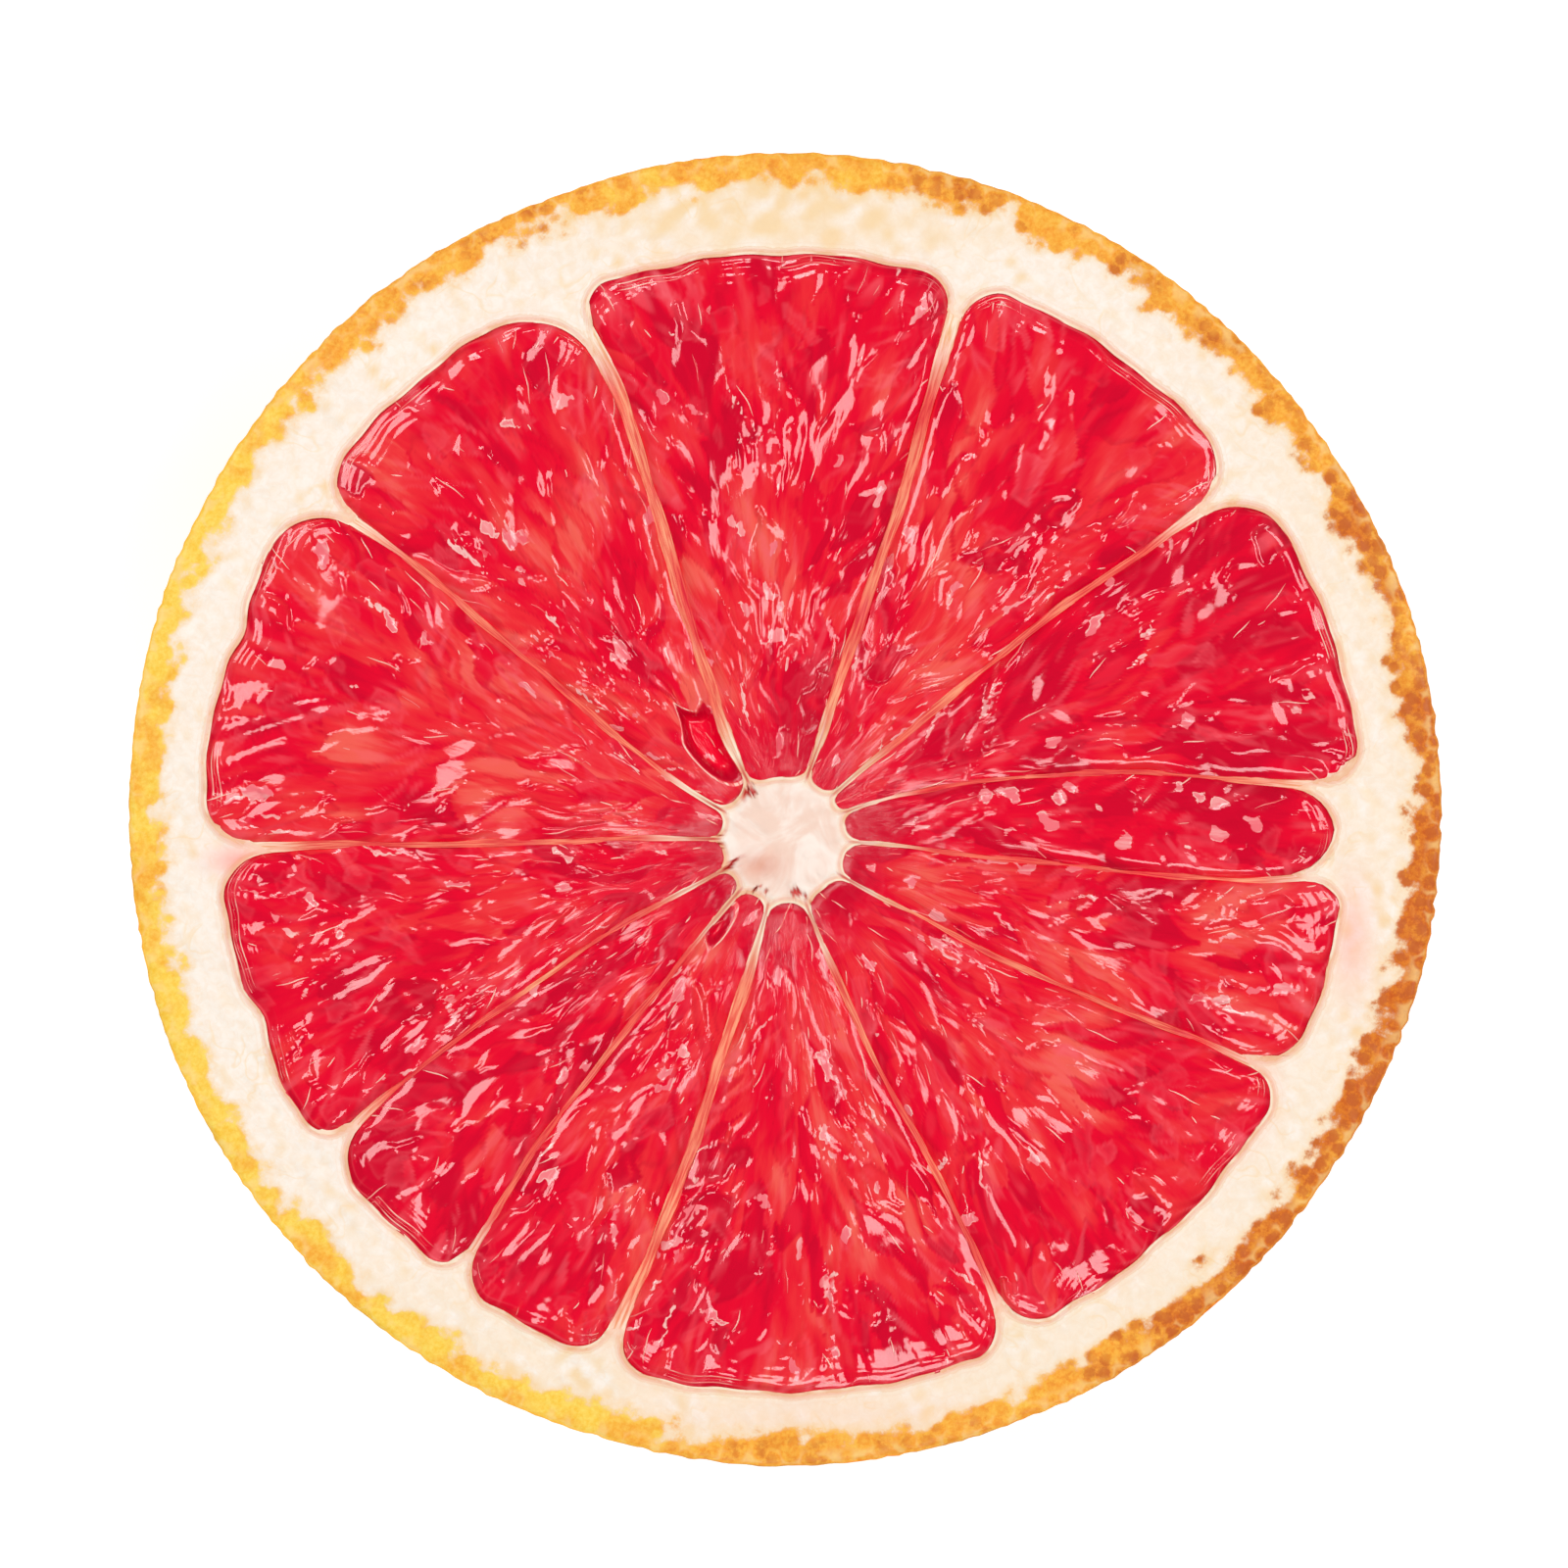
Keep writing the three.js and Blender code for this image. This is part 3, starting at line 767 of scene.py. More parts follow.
def dark_cells(x, y):
    """1 inside a dark, smooth sac, fading at its edge, and 1 at the glow in its middle."""
    inside = np.zeros_like(x)
    glow = np.zeros_like(x)
    warp_x, warp_y = warped(x, y, (0.25, 2.4, 81, 82))
    for middle_x, middle_y, degrees, length, width in CELLS:
        along, aside = turned(warp_x - middle_x, warp_y - middle_y, math.radians(degrees))
        away = np.hypot(along / length, aside / width)
        inside = np.maximum(inside, smooth(1.0, 0.8, away))
        glow = np.maximum(glow, smooth(0.5, 0.0, away))
    return inside, glow


def pit_edge(index, x, y):
    """Distance inside the edge of a torn hollow, and how deep the hollow is."""
    edge = np.full(x.shape, -9.0)
    depth = np.zeros(x.shape)
    for segment, distance, degrees, length, width, deepest in PITS:
        if segment == index:
            middle_x, middle_y = around(distance, math.radians(degrees), CORE_Y)
            along, aside = turned(x - middle_x, y - middle_y, math.radians(degrees))
            off_middle = np.hypot(2.0 * along / length, 2.0 * aside / width)
            spikes = np.abs((aside * 0.5 + 0.2) % 1.0 - 0.5) * 2.0
            edge = (1.0 - off_middle) * 0.5 * width - 1.5 * spikes * smooth(0.05, 0.5, along / length)
            depth = deepest * smooth(0.0, 0.9, edge)
    return edge, depth


class CutFlesh:
    """The cut face of one segment: its points, and what shows at each of them."""

    def __init__(self, index):
        self.index = index
        columns = int(span(index, FAR) * FAR / GRAIN) + 8
        rows = int((FLESH_RADIUS - CORE_RADIUS) / GRAIN)
        steps = [eased(np.linspace(0.0, 1.0, count), GRID_EASE) for count in (columns, rows)]
        self.across, self.along = np.meshgrid(*steps)
        places = wedge_points(index, self.across, self.along, 1.0)
        self.radius, angle, self.to_side, self.to_end, self.to_tip = places
        self.off = angle - membrane_angle(index, self.radius) + 0.5 * span(index, self.radius)
        x, y = around(self.radius, angle, CORE_Y)
        self.x, self.y = x, y

        draws = np.random.default_rng(7000 + index)
        self.relief, self.crease, self.sac_tone = sac_relief(index, x, y, draws)
        self.flake, self.gleam = flake_glint_field(index, x, y, draws)
        self.thread, self.thread_width = thread_field(index, x, y, draws)
        self.cell, self.cell_middle = dark_cells(x, y)
        self.pit_inside, self.pit = pit_edge(index, x, y)
        self.in_pit = smooth(0.0, 0.15, self.pit_inside)

        heading = sac_heading(index, x, y)
        slanted = heading + 0.55 * np.sign(self.off) - 0.1
        self.coarse = COARSE.streaks(x, y, heading, 3.0)
        self.fine = FINE.streaks(x, y, heading, 2.6)
        self.crossing = FINE.streaks(x + 31.0, y, slanted, 2.0)

        # a smooth skin covers the flesh near its outer end, where it lies in folds
        reach = 3.4 + 1.4 * self.ripple(9.0, 15)
        self.cover = smooth(reach, 0.3 * reach, self.to_end)
        self.folds = np.sin(self.to_end * 7.5 + 2.2 * self.ripple(7.0, 63)) * np.exp(-self.to_end / 1.1)
        self.away = smooth(8.0, 16.0, self.radius)
        self.streaky = smooth(-0.6, 0.8, self.ripple(8.0, 16)) * self.away

    def ripple(self, wavelength, seed):
        return ripple([self.x, self.y], wavelength, seed)

    def roughness(self):
        """Relief of the sacs, streaks, dark sacs, torn bits and folds."""
        aside = self.off * self.radius + 0.2 * self.ripple(1.6, 71)
        shards = ripple([self.radius / 4.0 + 0.3 * self.coarse, aside], 1.5, 50 + self.index)
        torn = 0.06 * spot_weight(self.x, self.y, TORN) * self.away
        rough = self.relief * (0.25 + 0.75 * self.away) * (1.0 - 0.3 * self.cover)
        rough *= 1.0 - 0.5 * spot_weight(self.x, self.y, CALM)
        rough += 0.008 * (self.away + self.cover) * self.coarse
        rough += 0.003 * self.fine * (1.0 - self.cover) * self.streaky
        rough = rough * (1.0 - 0.8 * self.cell) - 0.12 * self.cell
        rough += (0.004 * self.streaky + torn) * shards
        return rough + 0.05 * smooth(0.0, 0.15, self.flake) + 0.05 * self.folds

    def height(self):
        """Height of the cut flesh: a low pillow, hollow by the core."""
        profile = 1.0
        for distance, reach in ((self.to_end, 1.5), (self.to_side, 1.1), (self.to_tip, 0.9)):
            part = np.clip(distance / reach, 0.0, 1.0)
            profile = profile * part * (2.0 - part)
        drop = END_DROP * smooth(3.0, 0.6, np.minimum(self.to_end, self.to_tip))
        hollow = 0.45 * smooth(16.0, 6.0, self.radius)
        swell = 0.13 * self.ripple(11.0, 60 + self.index) + 0.02 * self.ripple(3.6, 90 + self.index)
        return HALF_HEIGHT - drop + (PILLOW + self.roughness() + swell - hollow - self.pit) * profile

    def lines(self):
        """Thin bright lines: the threads, a hollow's pale lip, and painted highlight lines along one or two
        folds at the outer edge.
        """
        bend = 0.12 * self.ripple(6.0, 64)
        fold = self.to_end - bend - np.where(self.to_end < 0.72 + bend, 0.45, 1.0)
        fold_width = 0.07 * smooth(0.1, 0.8, self.ripple(9.0, 65))
        fold_width *= (self.to_end < 1.3) & (self.to_side > 0.5)
        lip = self.pit_inside + 0.05
        off, width = self.thread, self.thread_width
        for off_line, line_width in ((fold, fold_width), (lip, 0.09 * (np.abs(lip) < 0.5))):
            wider = line_width > width
            off = np.where(wider, off_line, off)
            width = np.where(wider, line_width, width)
        return off, width

    def tone(self):
        """From crimson (0) over red to coral (1)."""
        along_sacs = ripple([self.radius / 2.2, self.off * self.radius], 5.0, 32 + self.index)
        tone = 0.34 + RIPENESS[self.index] + 0.12 * (self.ripple(14.0, 31) + 0.7 * along_sacs)
        # the last term is painted light and shade: raised sacs lighter, low places darker
        tone += 0.07 * self.coarse + 0.05 * self.fine + 0.18 * smooth(-0.12, 0.12, self.relief)
        tone += 0.34 * (self.sac_tone - 0.5) * (1.0 - 0.6 * self.cover)
        tone += 0.14 * np.exp(-(((self.radius - 22.0) / 12.0) ** 2)) - 0.26 * smooth(13.0, 6.0, self.radius)
        cell_tone = 0.22 + 0.5 * self.cell_middle
        tone = tone + (0.42 - tone) * self.in_pit + (cell_tone - tone) * 0.85 * self.cell
        return tone + 0.3 * smooth(-2.5, -0.3, self.pit_inside) * (1.0 - self.in_pit)

    def darkness_shade_and_sheen(self):
        """How dark the juice is, much of it painted shade, and how milky, some of it a painted sheen."""
        is_open = 1.0 - self.cover
        seam = np.exp(-((self.crease / 0.025) ** 2)) * is_open * self.away
        # painted shade along the creases between sacs and in the low places between them
        deep = 0.30 * seam * (self.sac_tone < 0.5) + 0.30 * smooth(-0.02, -0.14, self.relief) * is_open
        deep = deep * (1.0 - self.cell) + 0.5 * self.cell * (1.0 - self.cell_middle)
        # painted shade in the crevice at the outer edge, darker towards the core, and painted shade in the
        # troughs of the folds
        deep += 0.45 * smooth(0.7, 0.05, self.to_end) + 0.25 * smooth(13.0, 6.0, self.radius)
        deep += 0.35 * smooth(0.2, 1.0, -self.folds)
        # painted shadow under the hollow's lip, lighter in its middle
        deep += self.in_pit * (0.5 - 0.9 * smooth(0.3, 1.1, self.pit_inside))

        crossed = smooth(0.0, 1.2, self.ripple(10.0, 17)) * self.away
        haze = 0.35 * seam * smooth(0.6, 0.9, self.sac_tone) * self.streaky
        # painted highlight on the crests of the folds, and a painted sheen in broad streaks where the
        # smooth skin covers the outer end
        haze += 0.5 * smooth(0.3, 1.0, self.folds)
        haze += 0.45 * smooth(0.9, 2.2, self.coarse) * (0.2 * self.away + 0.8 * self.cover)
        haze += 0.30 * smooth(0.8, 2.2, self.fine) * self.streaky
        haze += 0.34 * smooth(0.9, 2.2, self.crossing) * crossed
        haze += film_haze(self.index, self.x, self.y) * (0.3 + 0.7 * self.away)
        return np.clip(deep, 0.0, 1.0), np.clip(haze * (1.0 - self.in_pit), 0.0, 1.0)

    def layers(self):
        """All that the material reads, by name."""
        deep, haze = self.darkness_shade_and_sheen()
        thread, thread_width = self.lines()
        aside = self.off * 60.0 * np.sqrt(30.0 / self.radius)
        flow = [aside, self.radius * 0.30, np.full_like(self.x, 7.3 * self.index)]
        return {
            "tone": self.tone(),
            "deep": deep,
            "haze": haze,
            "flake": self.flake,
            "gleam": self.gleam * (1.0 - 0.8 * smooth(0.7, 0.05, self.to_end)) * (1.0 - 0.5 * self.cover),
            "thread": thread,
            "thread_width": thread_width,
            "flow": np.stack(flow, axis=-1),
        }


def flesh_body(face):
    """Points, faces and flat plan of a segment: its cut face, its sides and its lower end."""
    top = np.stack([face.x, face.y, face.height()], axis=-1).reshape(-1, 3)
    numbers = np.arange(len(top)).reshape(face.x.shape)
    outline = np.concatenate([
        numbers[0, :-1], numbers[:-1, -1], numbers[-1, :0:-1], numbers[:0:-1, 0],
    ])
    across, along = face.across.ravel()[outline], face.along.ravel()[outline]
    middle = top[:, :2].mean(axis=0)
    points = [top]
    plan = [top[:, :2]]
    faces = [strip_rows(numbers, closed=False)]
    upper = outline
    for step, degrees in enumerate(FLESH_LATITUDES):
        latitude = math.radians(degrees)
        ring = around(*wedge_points(face.index, across, along, math.cos(latitude))[:2], CORE_Y)
        level = np.full(len(outline), HALF_HEIGHT - FLESH_DEPTH * math.sin(latitude))
        lower = len(top) + step * len(outline) + np.arange(len(outline))
        points.append(np.stack([*ring, level], axis=-1))
        plan.append(middle + (top[outline, :2] - middle) * (1.0 + PLAN_STEP * (step + 1)))
        faces.append(strip_faces(lower, upper))
        upper = lower
    points.append(points[-1].mean(axis=0, keepdims=True))
    points = np.concatenate(points)
    plan = np.concatenate([*plan, plan[-1][:1]])
    low = plan.min(axis=0)
    plan = 0.005 + 0.99 * (plan - low) / (plan.max(axis=0) - low).max()
    return points, [np.concatenate(faces), fan_faces(upper, len(points) - 1, flip=True)], plan


def flesh_piece(index, material):
    face = CutFlesh(index)
    points, faces, plan = flesh_body(face)
    attributes = {key: padded(values, len(points)) for key, values in face.layers().items()}
    name = f"{index + 1:02d}"
    piece = make_piece(f"flesh_{name}", points, faces, attributes, plan, material)
    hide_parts(f"segment_{name}")


# ---------------------------------------------------------------- peel, pith, core and membranes


def pith_colour(shader, place, fibres, cloud, edge, blush):
    """Cream with faint fibres and veins, yellow clouds, tan lines round each segment, and pink patches with
    a painted glow beside the flesh.
    """
    strands = fibres.range(0.32, 0.68)
    course = shader.noise(place, 0.34, detail=1.0, distortion=0.8)
    vein = abs(course - 0.5).range(0.035, 0.0) * shader.noise(place, 0.17).range(0.52, 0.62)
    waves = shader.math("SINE", edge * 17.0 + fibres * 7.0)
    line = waves.range(0.2, 1.0) * edge.range(1.25, 0.2)
    return shader.coats(
        shader.mix(strands, (251, 234, 216), (254, 244, 233)),
        (cloud, (248, 212, 156)),
        (vein * 0.3, (247, 206, 132)),
        (line * 0.5, (236, 176, 112)),
        (blush, (255, 172, 160)),
    )


def membrane_colour(shader, salmon, pale):
    """Cream at both ends of a membrane, salmon between, redder where a membrane is less pale."""
    grain = shader.noise(shader.attribute_vector("grain"), 1.0, detail=3.0).range(0.34, 0.66)
    red = shader.mix(grain, (222, 20, 46), (243, 92, 74))
    light = shader.mix(grain, (238, 88, 68), (252, 172, 130))
    cream = shader.mix(grain, (242, 190, 136), (255, 246, 228))
    return shader.mix(salmon, cream, shader.mix(pale, red, light))


def core_colour(shader, place, blush):
    """Spongy white with pink swirls."""
    swirl = shader.noise(place, 0.24, detail=3.0, roughness=0.6, distortion=1.2).range(0.36, 0.62)
    spongy = shader.mix(swirl, (247, 214, 196), (255, 238, 226))
    return shader.mix(blush, spongy, (226, 140, 112))


def skin_colour(shader, ripe, rim, glands, grit):
    """Yellow to orange to brown, with oil glands that show as darker discs where they are cut."""
    mottle = grit.range(0.30, 0.70)
    on_dome = rim.range(0.3, 0.0, 0.0, 0.7)
    yellow = shader.mix(on_dome, shader.mix(mottle, (252, 200, 54), (254, 220, 100)), (255, 184, 44))
    orange = shader.mix(mottle, (248, 152, 32), (252, 186, 66))
    brown = shader.mix(mottle, (204, 86, 0), (228, 128, 22))
    browned = ripe.range(0.5, 1.0) * rim.range(0.0, 0.3, 0.6, 1.0)
    gland = (glands + grit.range(0.3, 0.7, -0.09, 0.09)).range(0.50, 0.30)
    disc = gland * ripe.range(0.2, 0.9, 0.05, 0.75) * rim.range(0.0, 0.25, 0.25, 1.0)
    disc_colour = shader.mix(ripe.range(0.3, 0.85), (240, 142, 36), (198, 94, 26))
    between = glands.range(0.50, 0.72) * rim.range(1.6, 0.5) * rim.range(0.0, 0.25) * 0.5
    return shader.coats(
        shader.mix(ripe.range(0.0, 0.5), yellow, orange),
        (browned, brown),
        (disc, disc_colour),
        (between, (253, 216, 140)),
    )


def peel_material():
    shader = Shader("peel")
    place = shader.place()
    names = "rim wall core edge salmon pale ripe blush gap sunk cloud wander"
    rim, wall, core, edge, salmon, pale, ripe, blush, gap, sunk, cloud, wander = shader.attributes(names)
    patchy = shader.noise(place, 0.42, detail=2.0).range(0.32, 0.68, -0.16, 0.16)
    ripe = ripe + patchy * rim.range(0.0, 0.5, 0.25, 1.0)
    fibres = shader.noise(place, 1.4, detail=5.0, roughness=0.65, distortion=0.7)
    glands = shader.cells(place, 0.74, 0.9)
    grit = shader.noise(place, 2.4, detail=4.0, roughness=0.7)

    # each pocket has a red side, painted shade where it sinks into the crevice at the flesh's edge, an
    # uneven pale lip and a tan shore line round it
    crevice_red = sunk.range(-0.05, 0.05) * edge.range(0.10, 0.04)
    lip = edge.range(0.36, 0.14) * (1.0 - salmon)
    uneven = shader.noise(place, 0.28, detail=2.0).range(0.42, 0.58)
    lip_colour = shader.mix(uneven, (255, 240, 214), (240, 186, 142))
    shore = edge.range(0.62, 0.42) * (1.0 - wall)

    # the skin bulges into the pith at its glands, and a yellow halo goes before it
    bulge = glands.range(0.1, 0.7, 0.4, -0.3)
    fray = grit.range(0.3, 0.7, -0.24, 0.24)
    inside = wander + bulge + fray - rim
    surface = shader.coats(
        pith_colour(shader, place, fibres, cloud, edge, blush),
        (wall, membrane_colour(shader, salmon, pale)),
        (core, core_colour(shader, place, blush)),
        (shore * 0.45, (238, 152, 104)),
        (lip * 0.75, lip_colour),
        (gap, (202, 30, 34)),
        (crevice_red, (214, 40, 40)),
        (inside.range(-1.3, 0.2) * 0.5, (249, 202, 128)),
        (inside.range(-0.40, 0.40), skin_colour(shader, ripe, rim, glands, grit)),
    )

    pores = glands.range(0.0, 0.42) * rim.range(0.25, 0.0)
    return shader.finish({
        "Base Color": surface,
        "Roughness": 0.5,
        "Specular IOR Level": 0.25,
        "Coat Weight": 0.12,
        "Coat Roughness": 0.25,
        "Normal": shader.bump(pores * 1.8 + fibres * 0.5, 0.16, 0.6),
    })


RING_POINTS = 700  # points round the cut face
TOP_STEPS = (0.0, 0.35, 0.7, 1.0)  # from a membrane's middle to the top of its side
FOOT = len(TOP_STEPS)  # number of the column at the foot of the side
CORE_ROWS = 18
POCKET_ROWS = 58
PITH_ROWS = 24
BOWL_ROWS = 12
RING_ROWS = 12
DOME_ROWS = 70
SIDE_EASE = 0.5  # columns stand closer together at the corners of a pocket
SKIN_DEPTH = 2.35  # usual thickness of the coloured skin
FLAT_RINGS = (8.6, 7.0, 5.4, 3.9, 2.9, SCAR_RADIUS, 1.8, 1.3, 0.8, 0.35)  # radii on the flat spot
PITH_LIFT = 1.6  # the hidden face of the pith ends this far above the flat spot
SKIN_LIFT = 1.55  # and that of the skin here
PLAN_SIZE = 0.94  # the flat plan of the pith takes up this share of the unit square
FAR_OFF = 20.0  # stands for the distance of points that lie nowhere near an edge

# Patches of pink in the pith and the core: x, y, half sizes and strength.
PATCHES = (
    (46.6, -10.5, 1.7, 4.5, 0.5), (-14.6, 33.4, 1.8, 3.4, 0.85), (-44.8, -4.2, 2.4, 1.2, 0.8),
    (4.0, -50.0, 16.0, 1.8, 0.12), (-1.9, -4.6, 1.9, 1.1, 0.6), (38.5, -23.0, 2.0, 3.0, 0.35),
)

# Small cracks round the core: x, y, heading in degrees, half length and half width.
CRACKS = (
    (-2.9, 1.4, 55.0, 0.7, 0.22), (-4.4, -4.5, 35.0, 0.9, 0.25), (-5.3, -2.5, 80.0, 0.7, 0.16),
    (1.3, -7.0, 150.0, 0.9, 0.20), (-2.2, -6.6, 200.0, 0.6, 0.15),
)


def column_share(count):
    """How far each column of a segment stands from its left side to its right one."""
    number = np.arange(count)
    return eased(np.clip((number - FOOT) / (count - 2 * FOOT), 0.0, 1.0), SIDE_EASE)


def column_angles(index, count, radius):
    """Angles of a segment's columns, from the middle of one membrane up to the next one's."""
    left = membrane_angle(index, radius)
    right = membrane_angle(index + 1, radius)
    left_half = half_wall(index, radius)
    right_half = half_wall(index + 1, radius)
    left_foot = left - (left_half + WALL_FOOT) / radius
    right_foot = right + (right_half + WALL_FOOT) / radius
    angle = left_foot + (right_foot - left_foot) * column_share(count)
    for step, part in enumerate(TOP_STEPS):
        angle[:, step] = (left - left_half * part / radius)[:, step]
        if step:
            angle[:, count - step] = (right + right_half * part / radius)[:, count - step]
    return angle


def side_distances(index, count, radius):
    """Distance of each column to the two sides of its pocket, 0 on a membrane."""
    room = span(index, radius) * radius - half_wall(index, radius) - half_wall(index + 1, radius)
    number = np.arange(count)
    inside = WALL_FOOT + (room - 2.0 * WALL_FOOT) * column_share(count)
    on_left = number < FOOT
    on_right = number > count - FOOT
    from_left = np.where(on_left, 0.0, np.where(on_right, room, inside))
    return from_left, room - from_left


def bridge_membranes(values, starts):
    """Runs a per-column value straight across each membrane, from one side's edge to the other's."""
    total = len(values)
    for start in starts:
        before = values[(start - FOOT + 1) % total]
        after = values[(start + FOOT - 1) % total]
        for step in range(-FOOT + 2, FOOT - 1):
            share = (step + FOOT - 1) / (2.0 * (FOOT - 1))
            values[(start + step) % total] = before + (after - before) * share
    return values


class Columns:
    """The columns that the pith and the skin share: where they cross each outline."""

    def __init__(self):
        spans = [span(index, FAR) for index in range(COUNT)]
        self.counts = [max(16, round(RING_POINTS * part / math.tau)) for part in spans]
        self.starts = np.concatenate([[0], np.cumsum(self.counts)[:-1]])
        self.total = sum(self.counts)
        inner, outer, in_pocket, rim_angle = [], [], [], []
        for index, count in enumerate(self.counts):
            inner.append(tip_radius(*side_distances(index, count, NEAR)))
            outer.append(outer_radius(index, *side_distances(index, count, FAR)))
            number = np.arange(count)
            in_pocket.append((number >= FOOT) & (number <= count - FOOT))
            rim_angle.append(membrane_angle(index, FAR) - spans[index] * number / count)
        self.inner = bridge_membranes(np.concatenate(inner), self.starts)
        self.outer = bridge_membranes(np.concatenate(outer), self.starts)
        self.in_pocket = np.concatenate(in_pocket)
        self.rim_angle = np.concatenate(rim_angle)

    def angles(self, radius):
        """Angle about the core of every column, for rows of radii."""
        parts = []
        for index, (start, count) in enumerate(zip(self.starts, self.counts)):
            parts.append(column_angles(index, count, radius[:, start:start + count]))
        return np.concatenate(parts, axis=1)

    def sides(self):
        """Numbers of the columns at the tops of the membranes' sides."""
        ends = [start + FOOT - 1 for start in self.starts]
        ends += [(start - FOOT + 1) % self.total for start in self.starts]
        return np.array(ends)


def ripeness_and_side_shade(x, y, z):
    """0 where the skin is yellow, 0.5 orange and 1 brown-orange: yellow at the left and browner to the
    right, the skin's own colour with painted shade on the right side.
    """
    angle = np.arctan2(y, x)
    right = 0.5 + 0.5 * np.cos(angle + math.radians(12.0))
    top_left = np.exp(-((turn_between(math.radians(124.0), angle) / 0.42) ** 2))
    bottom = np.exp(-((turn_between(math.radians(-95.0), angle) / 0.6) ** 2))
    value = 0.02 + 0.90 * right**1.3 + 0.36 * top_left - 0.14 * bottom
    value = value + (0.34 - value) * smooth(40.0, 8.0, np.hypot(x, y))
    return np.clip(value + 0.10 * ripple([x, y, z], 15.0, 12), 0.0, 1.0)


def skin_depth(x, y):
    """Thickness of the coloured skin where it is cut."""
    thicker = 0.12 * np.cos(np.arctan2(y, x) + math.radians(10.0))
    return SKIN_DEPTH + thicker + 0.28 * ripple([x, y], 8.0, 33) + 0.34 * ripple([x, y], 2.8, 34)


def cut_relief(x, y):
    """Slow and fine unevenness of the cut pith."""
    return 0.07 * ripple([x, y], 7.0, 21) + 0.035 * ripple([x, y], 2.1, 22) + 0.02 * ripple([x, y], 1.0, 23)


def pink_patches(x, y):
    """How pink the pith and the core are."""
    pink = np.zeros_like(x)
    for patch_x, patch_y, half_x, half_y, strength in PATCHES:
        away = ((x - patch_x) / half_x) ** 2 + ((y - patch_y) / half_y) ** 2
        pink = np.maximum(pink, strength * np.exp(-away))
    return pink


def tan_clouds(x, y):
    """Yellow stains in the pith, strongest at the top of the picture, and a tan wash that deepens towards
    the right and the bottom.
    """
    spots = 0.14 * ripple([x, y], 9.0, 36) * ripple([x, y], 2.0, 37)
    top = 0.62 * np.exp(-((x / 18.0) ** 2)) * smooth(43.0, 49.0, y) * (1.0 + 0.4 * ripple([x, y], 3.0, 38))
    wash = 0.20 * smooth(20.0, 50.0, x) + 0.30 * smooth(25.0, 50.0, -y)
    return np.clip(spots + top + wash, 0.0, 0.8)


def pocket_floor(radius, outer):
    """Floor of a pocket: the flesh's ellipsoid, cut off where the segments end."""
    share = np.clip(radius / outer, 0.0, 1.0)
    depth = FLESH_DEPTH * np.sqrt(1.0 - share * share) + 0.5
    deepest = FLESH_DEPTH * math.sin(math.radians(FLESH_LATITUDES[-1])) + 0.5
    return HALF_HEIGHT - np.clip(depth, 1.6, deepest)


def rim_places(columns):
    """Outside of the peel at the cut face, with the small scallops of its oil glands."""
    angle = columns.rim_angle
    return rim_radius(angle) + 0.05 * ripple(around(CUT_RADIUS, angle), 1.7, 61)


def bowl(columns, shares, lift):
    """Rows of the hidden face between pith and skin, from the cut face (0) to the pole (1)."""
    turn = (1.0 - shares) * math.pi / 2.0
    radius = np.sin(np.maximum(turn, 0.03)) * (rim_places(columns) - SKIN)
    z = HALF_HEIGHT - (HALF_HEIGHT - lift) * np.cos(turn) * np.ones_like(radius)
    return *around(radius, columns.rim_angle), z


def edge_distances(x, y, outline):
    """Distance of each point to the nearest point of the pockets' outline."""
    tree = kdtree.KDTree(len(outline))
    for number, (place_x, place_y) in enumerate(outline):
        tree.insert((place_x, place_y, 0.0), number)
    tree.balance()
    found = [tree.find((place_x, place_y, 0.0))[2] for place_x, place_y in zip(x.ravel(), y.ravel())]
    return np.array(found).reshape(x.shape)


def parted_walls(x, y):
    """Each membrane is two walls, which part between the tips of two segments: 1 in such a gap."""
    from_core = np.hypot(x, y - CORE_Y)
    angle = np.arctan2(y - CORE_Y, x)
    gap = np.zeros_like(x)
    draws = np.random.default_rng(88)
    for index in range(COUNT):
        reach = draws.uniform(1.5, 5.0)
        off = turn_between(membrane_angle(index, from_core), angle)
        along = np.exp(-(((from_core - 6.2) / reach) ** 2)) * smooth(5.0, 5.6, from_core)
        across = smooth(0.14, 0.05, np.abs(off) * from_core)
        gap = np.maximum(gap, draws.uniform(0.5, 1.0) * along * across)
    return gap


def core_cracks(x, y):
    """1 in one of the small cracks round the core."""
    crack = np.zeros_like(x)
    x, y = warped(x, y, (0.16, 0.9, 76, 77))
    for middle_x, middle_y, degrees, length, width in CRACKS:
        along, aside = turned(x - middle_x, y - middle_y, math.radians(degrees))
        crack = np.maximum(crack, np.exp(-((along / length) ** 4) - (aside / width) ** 4))
    return crack


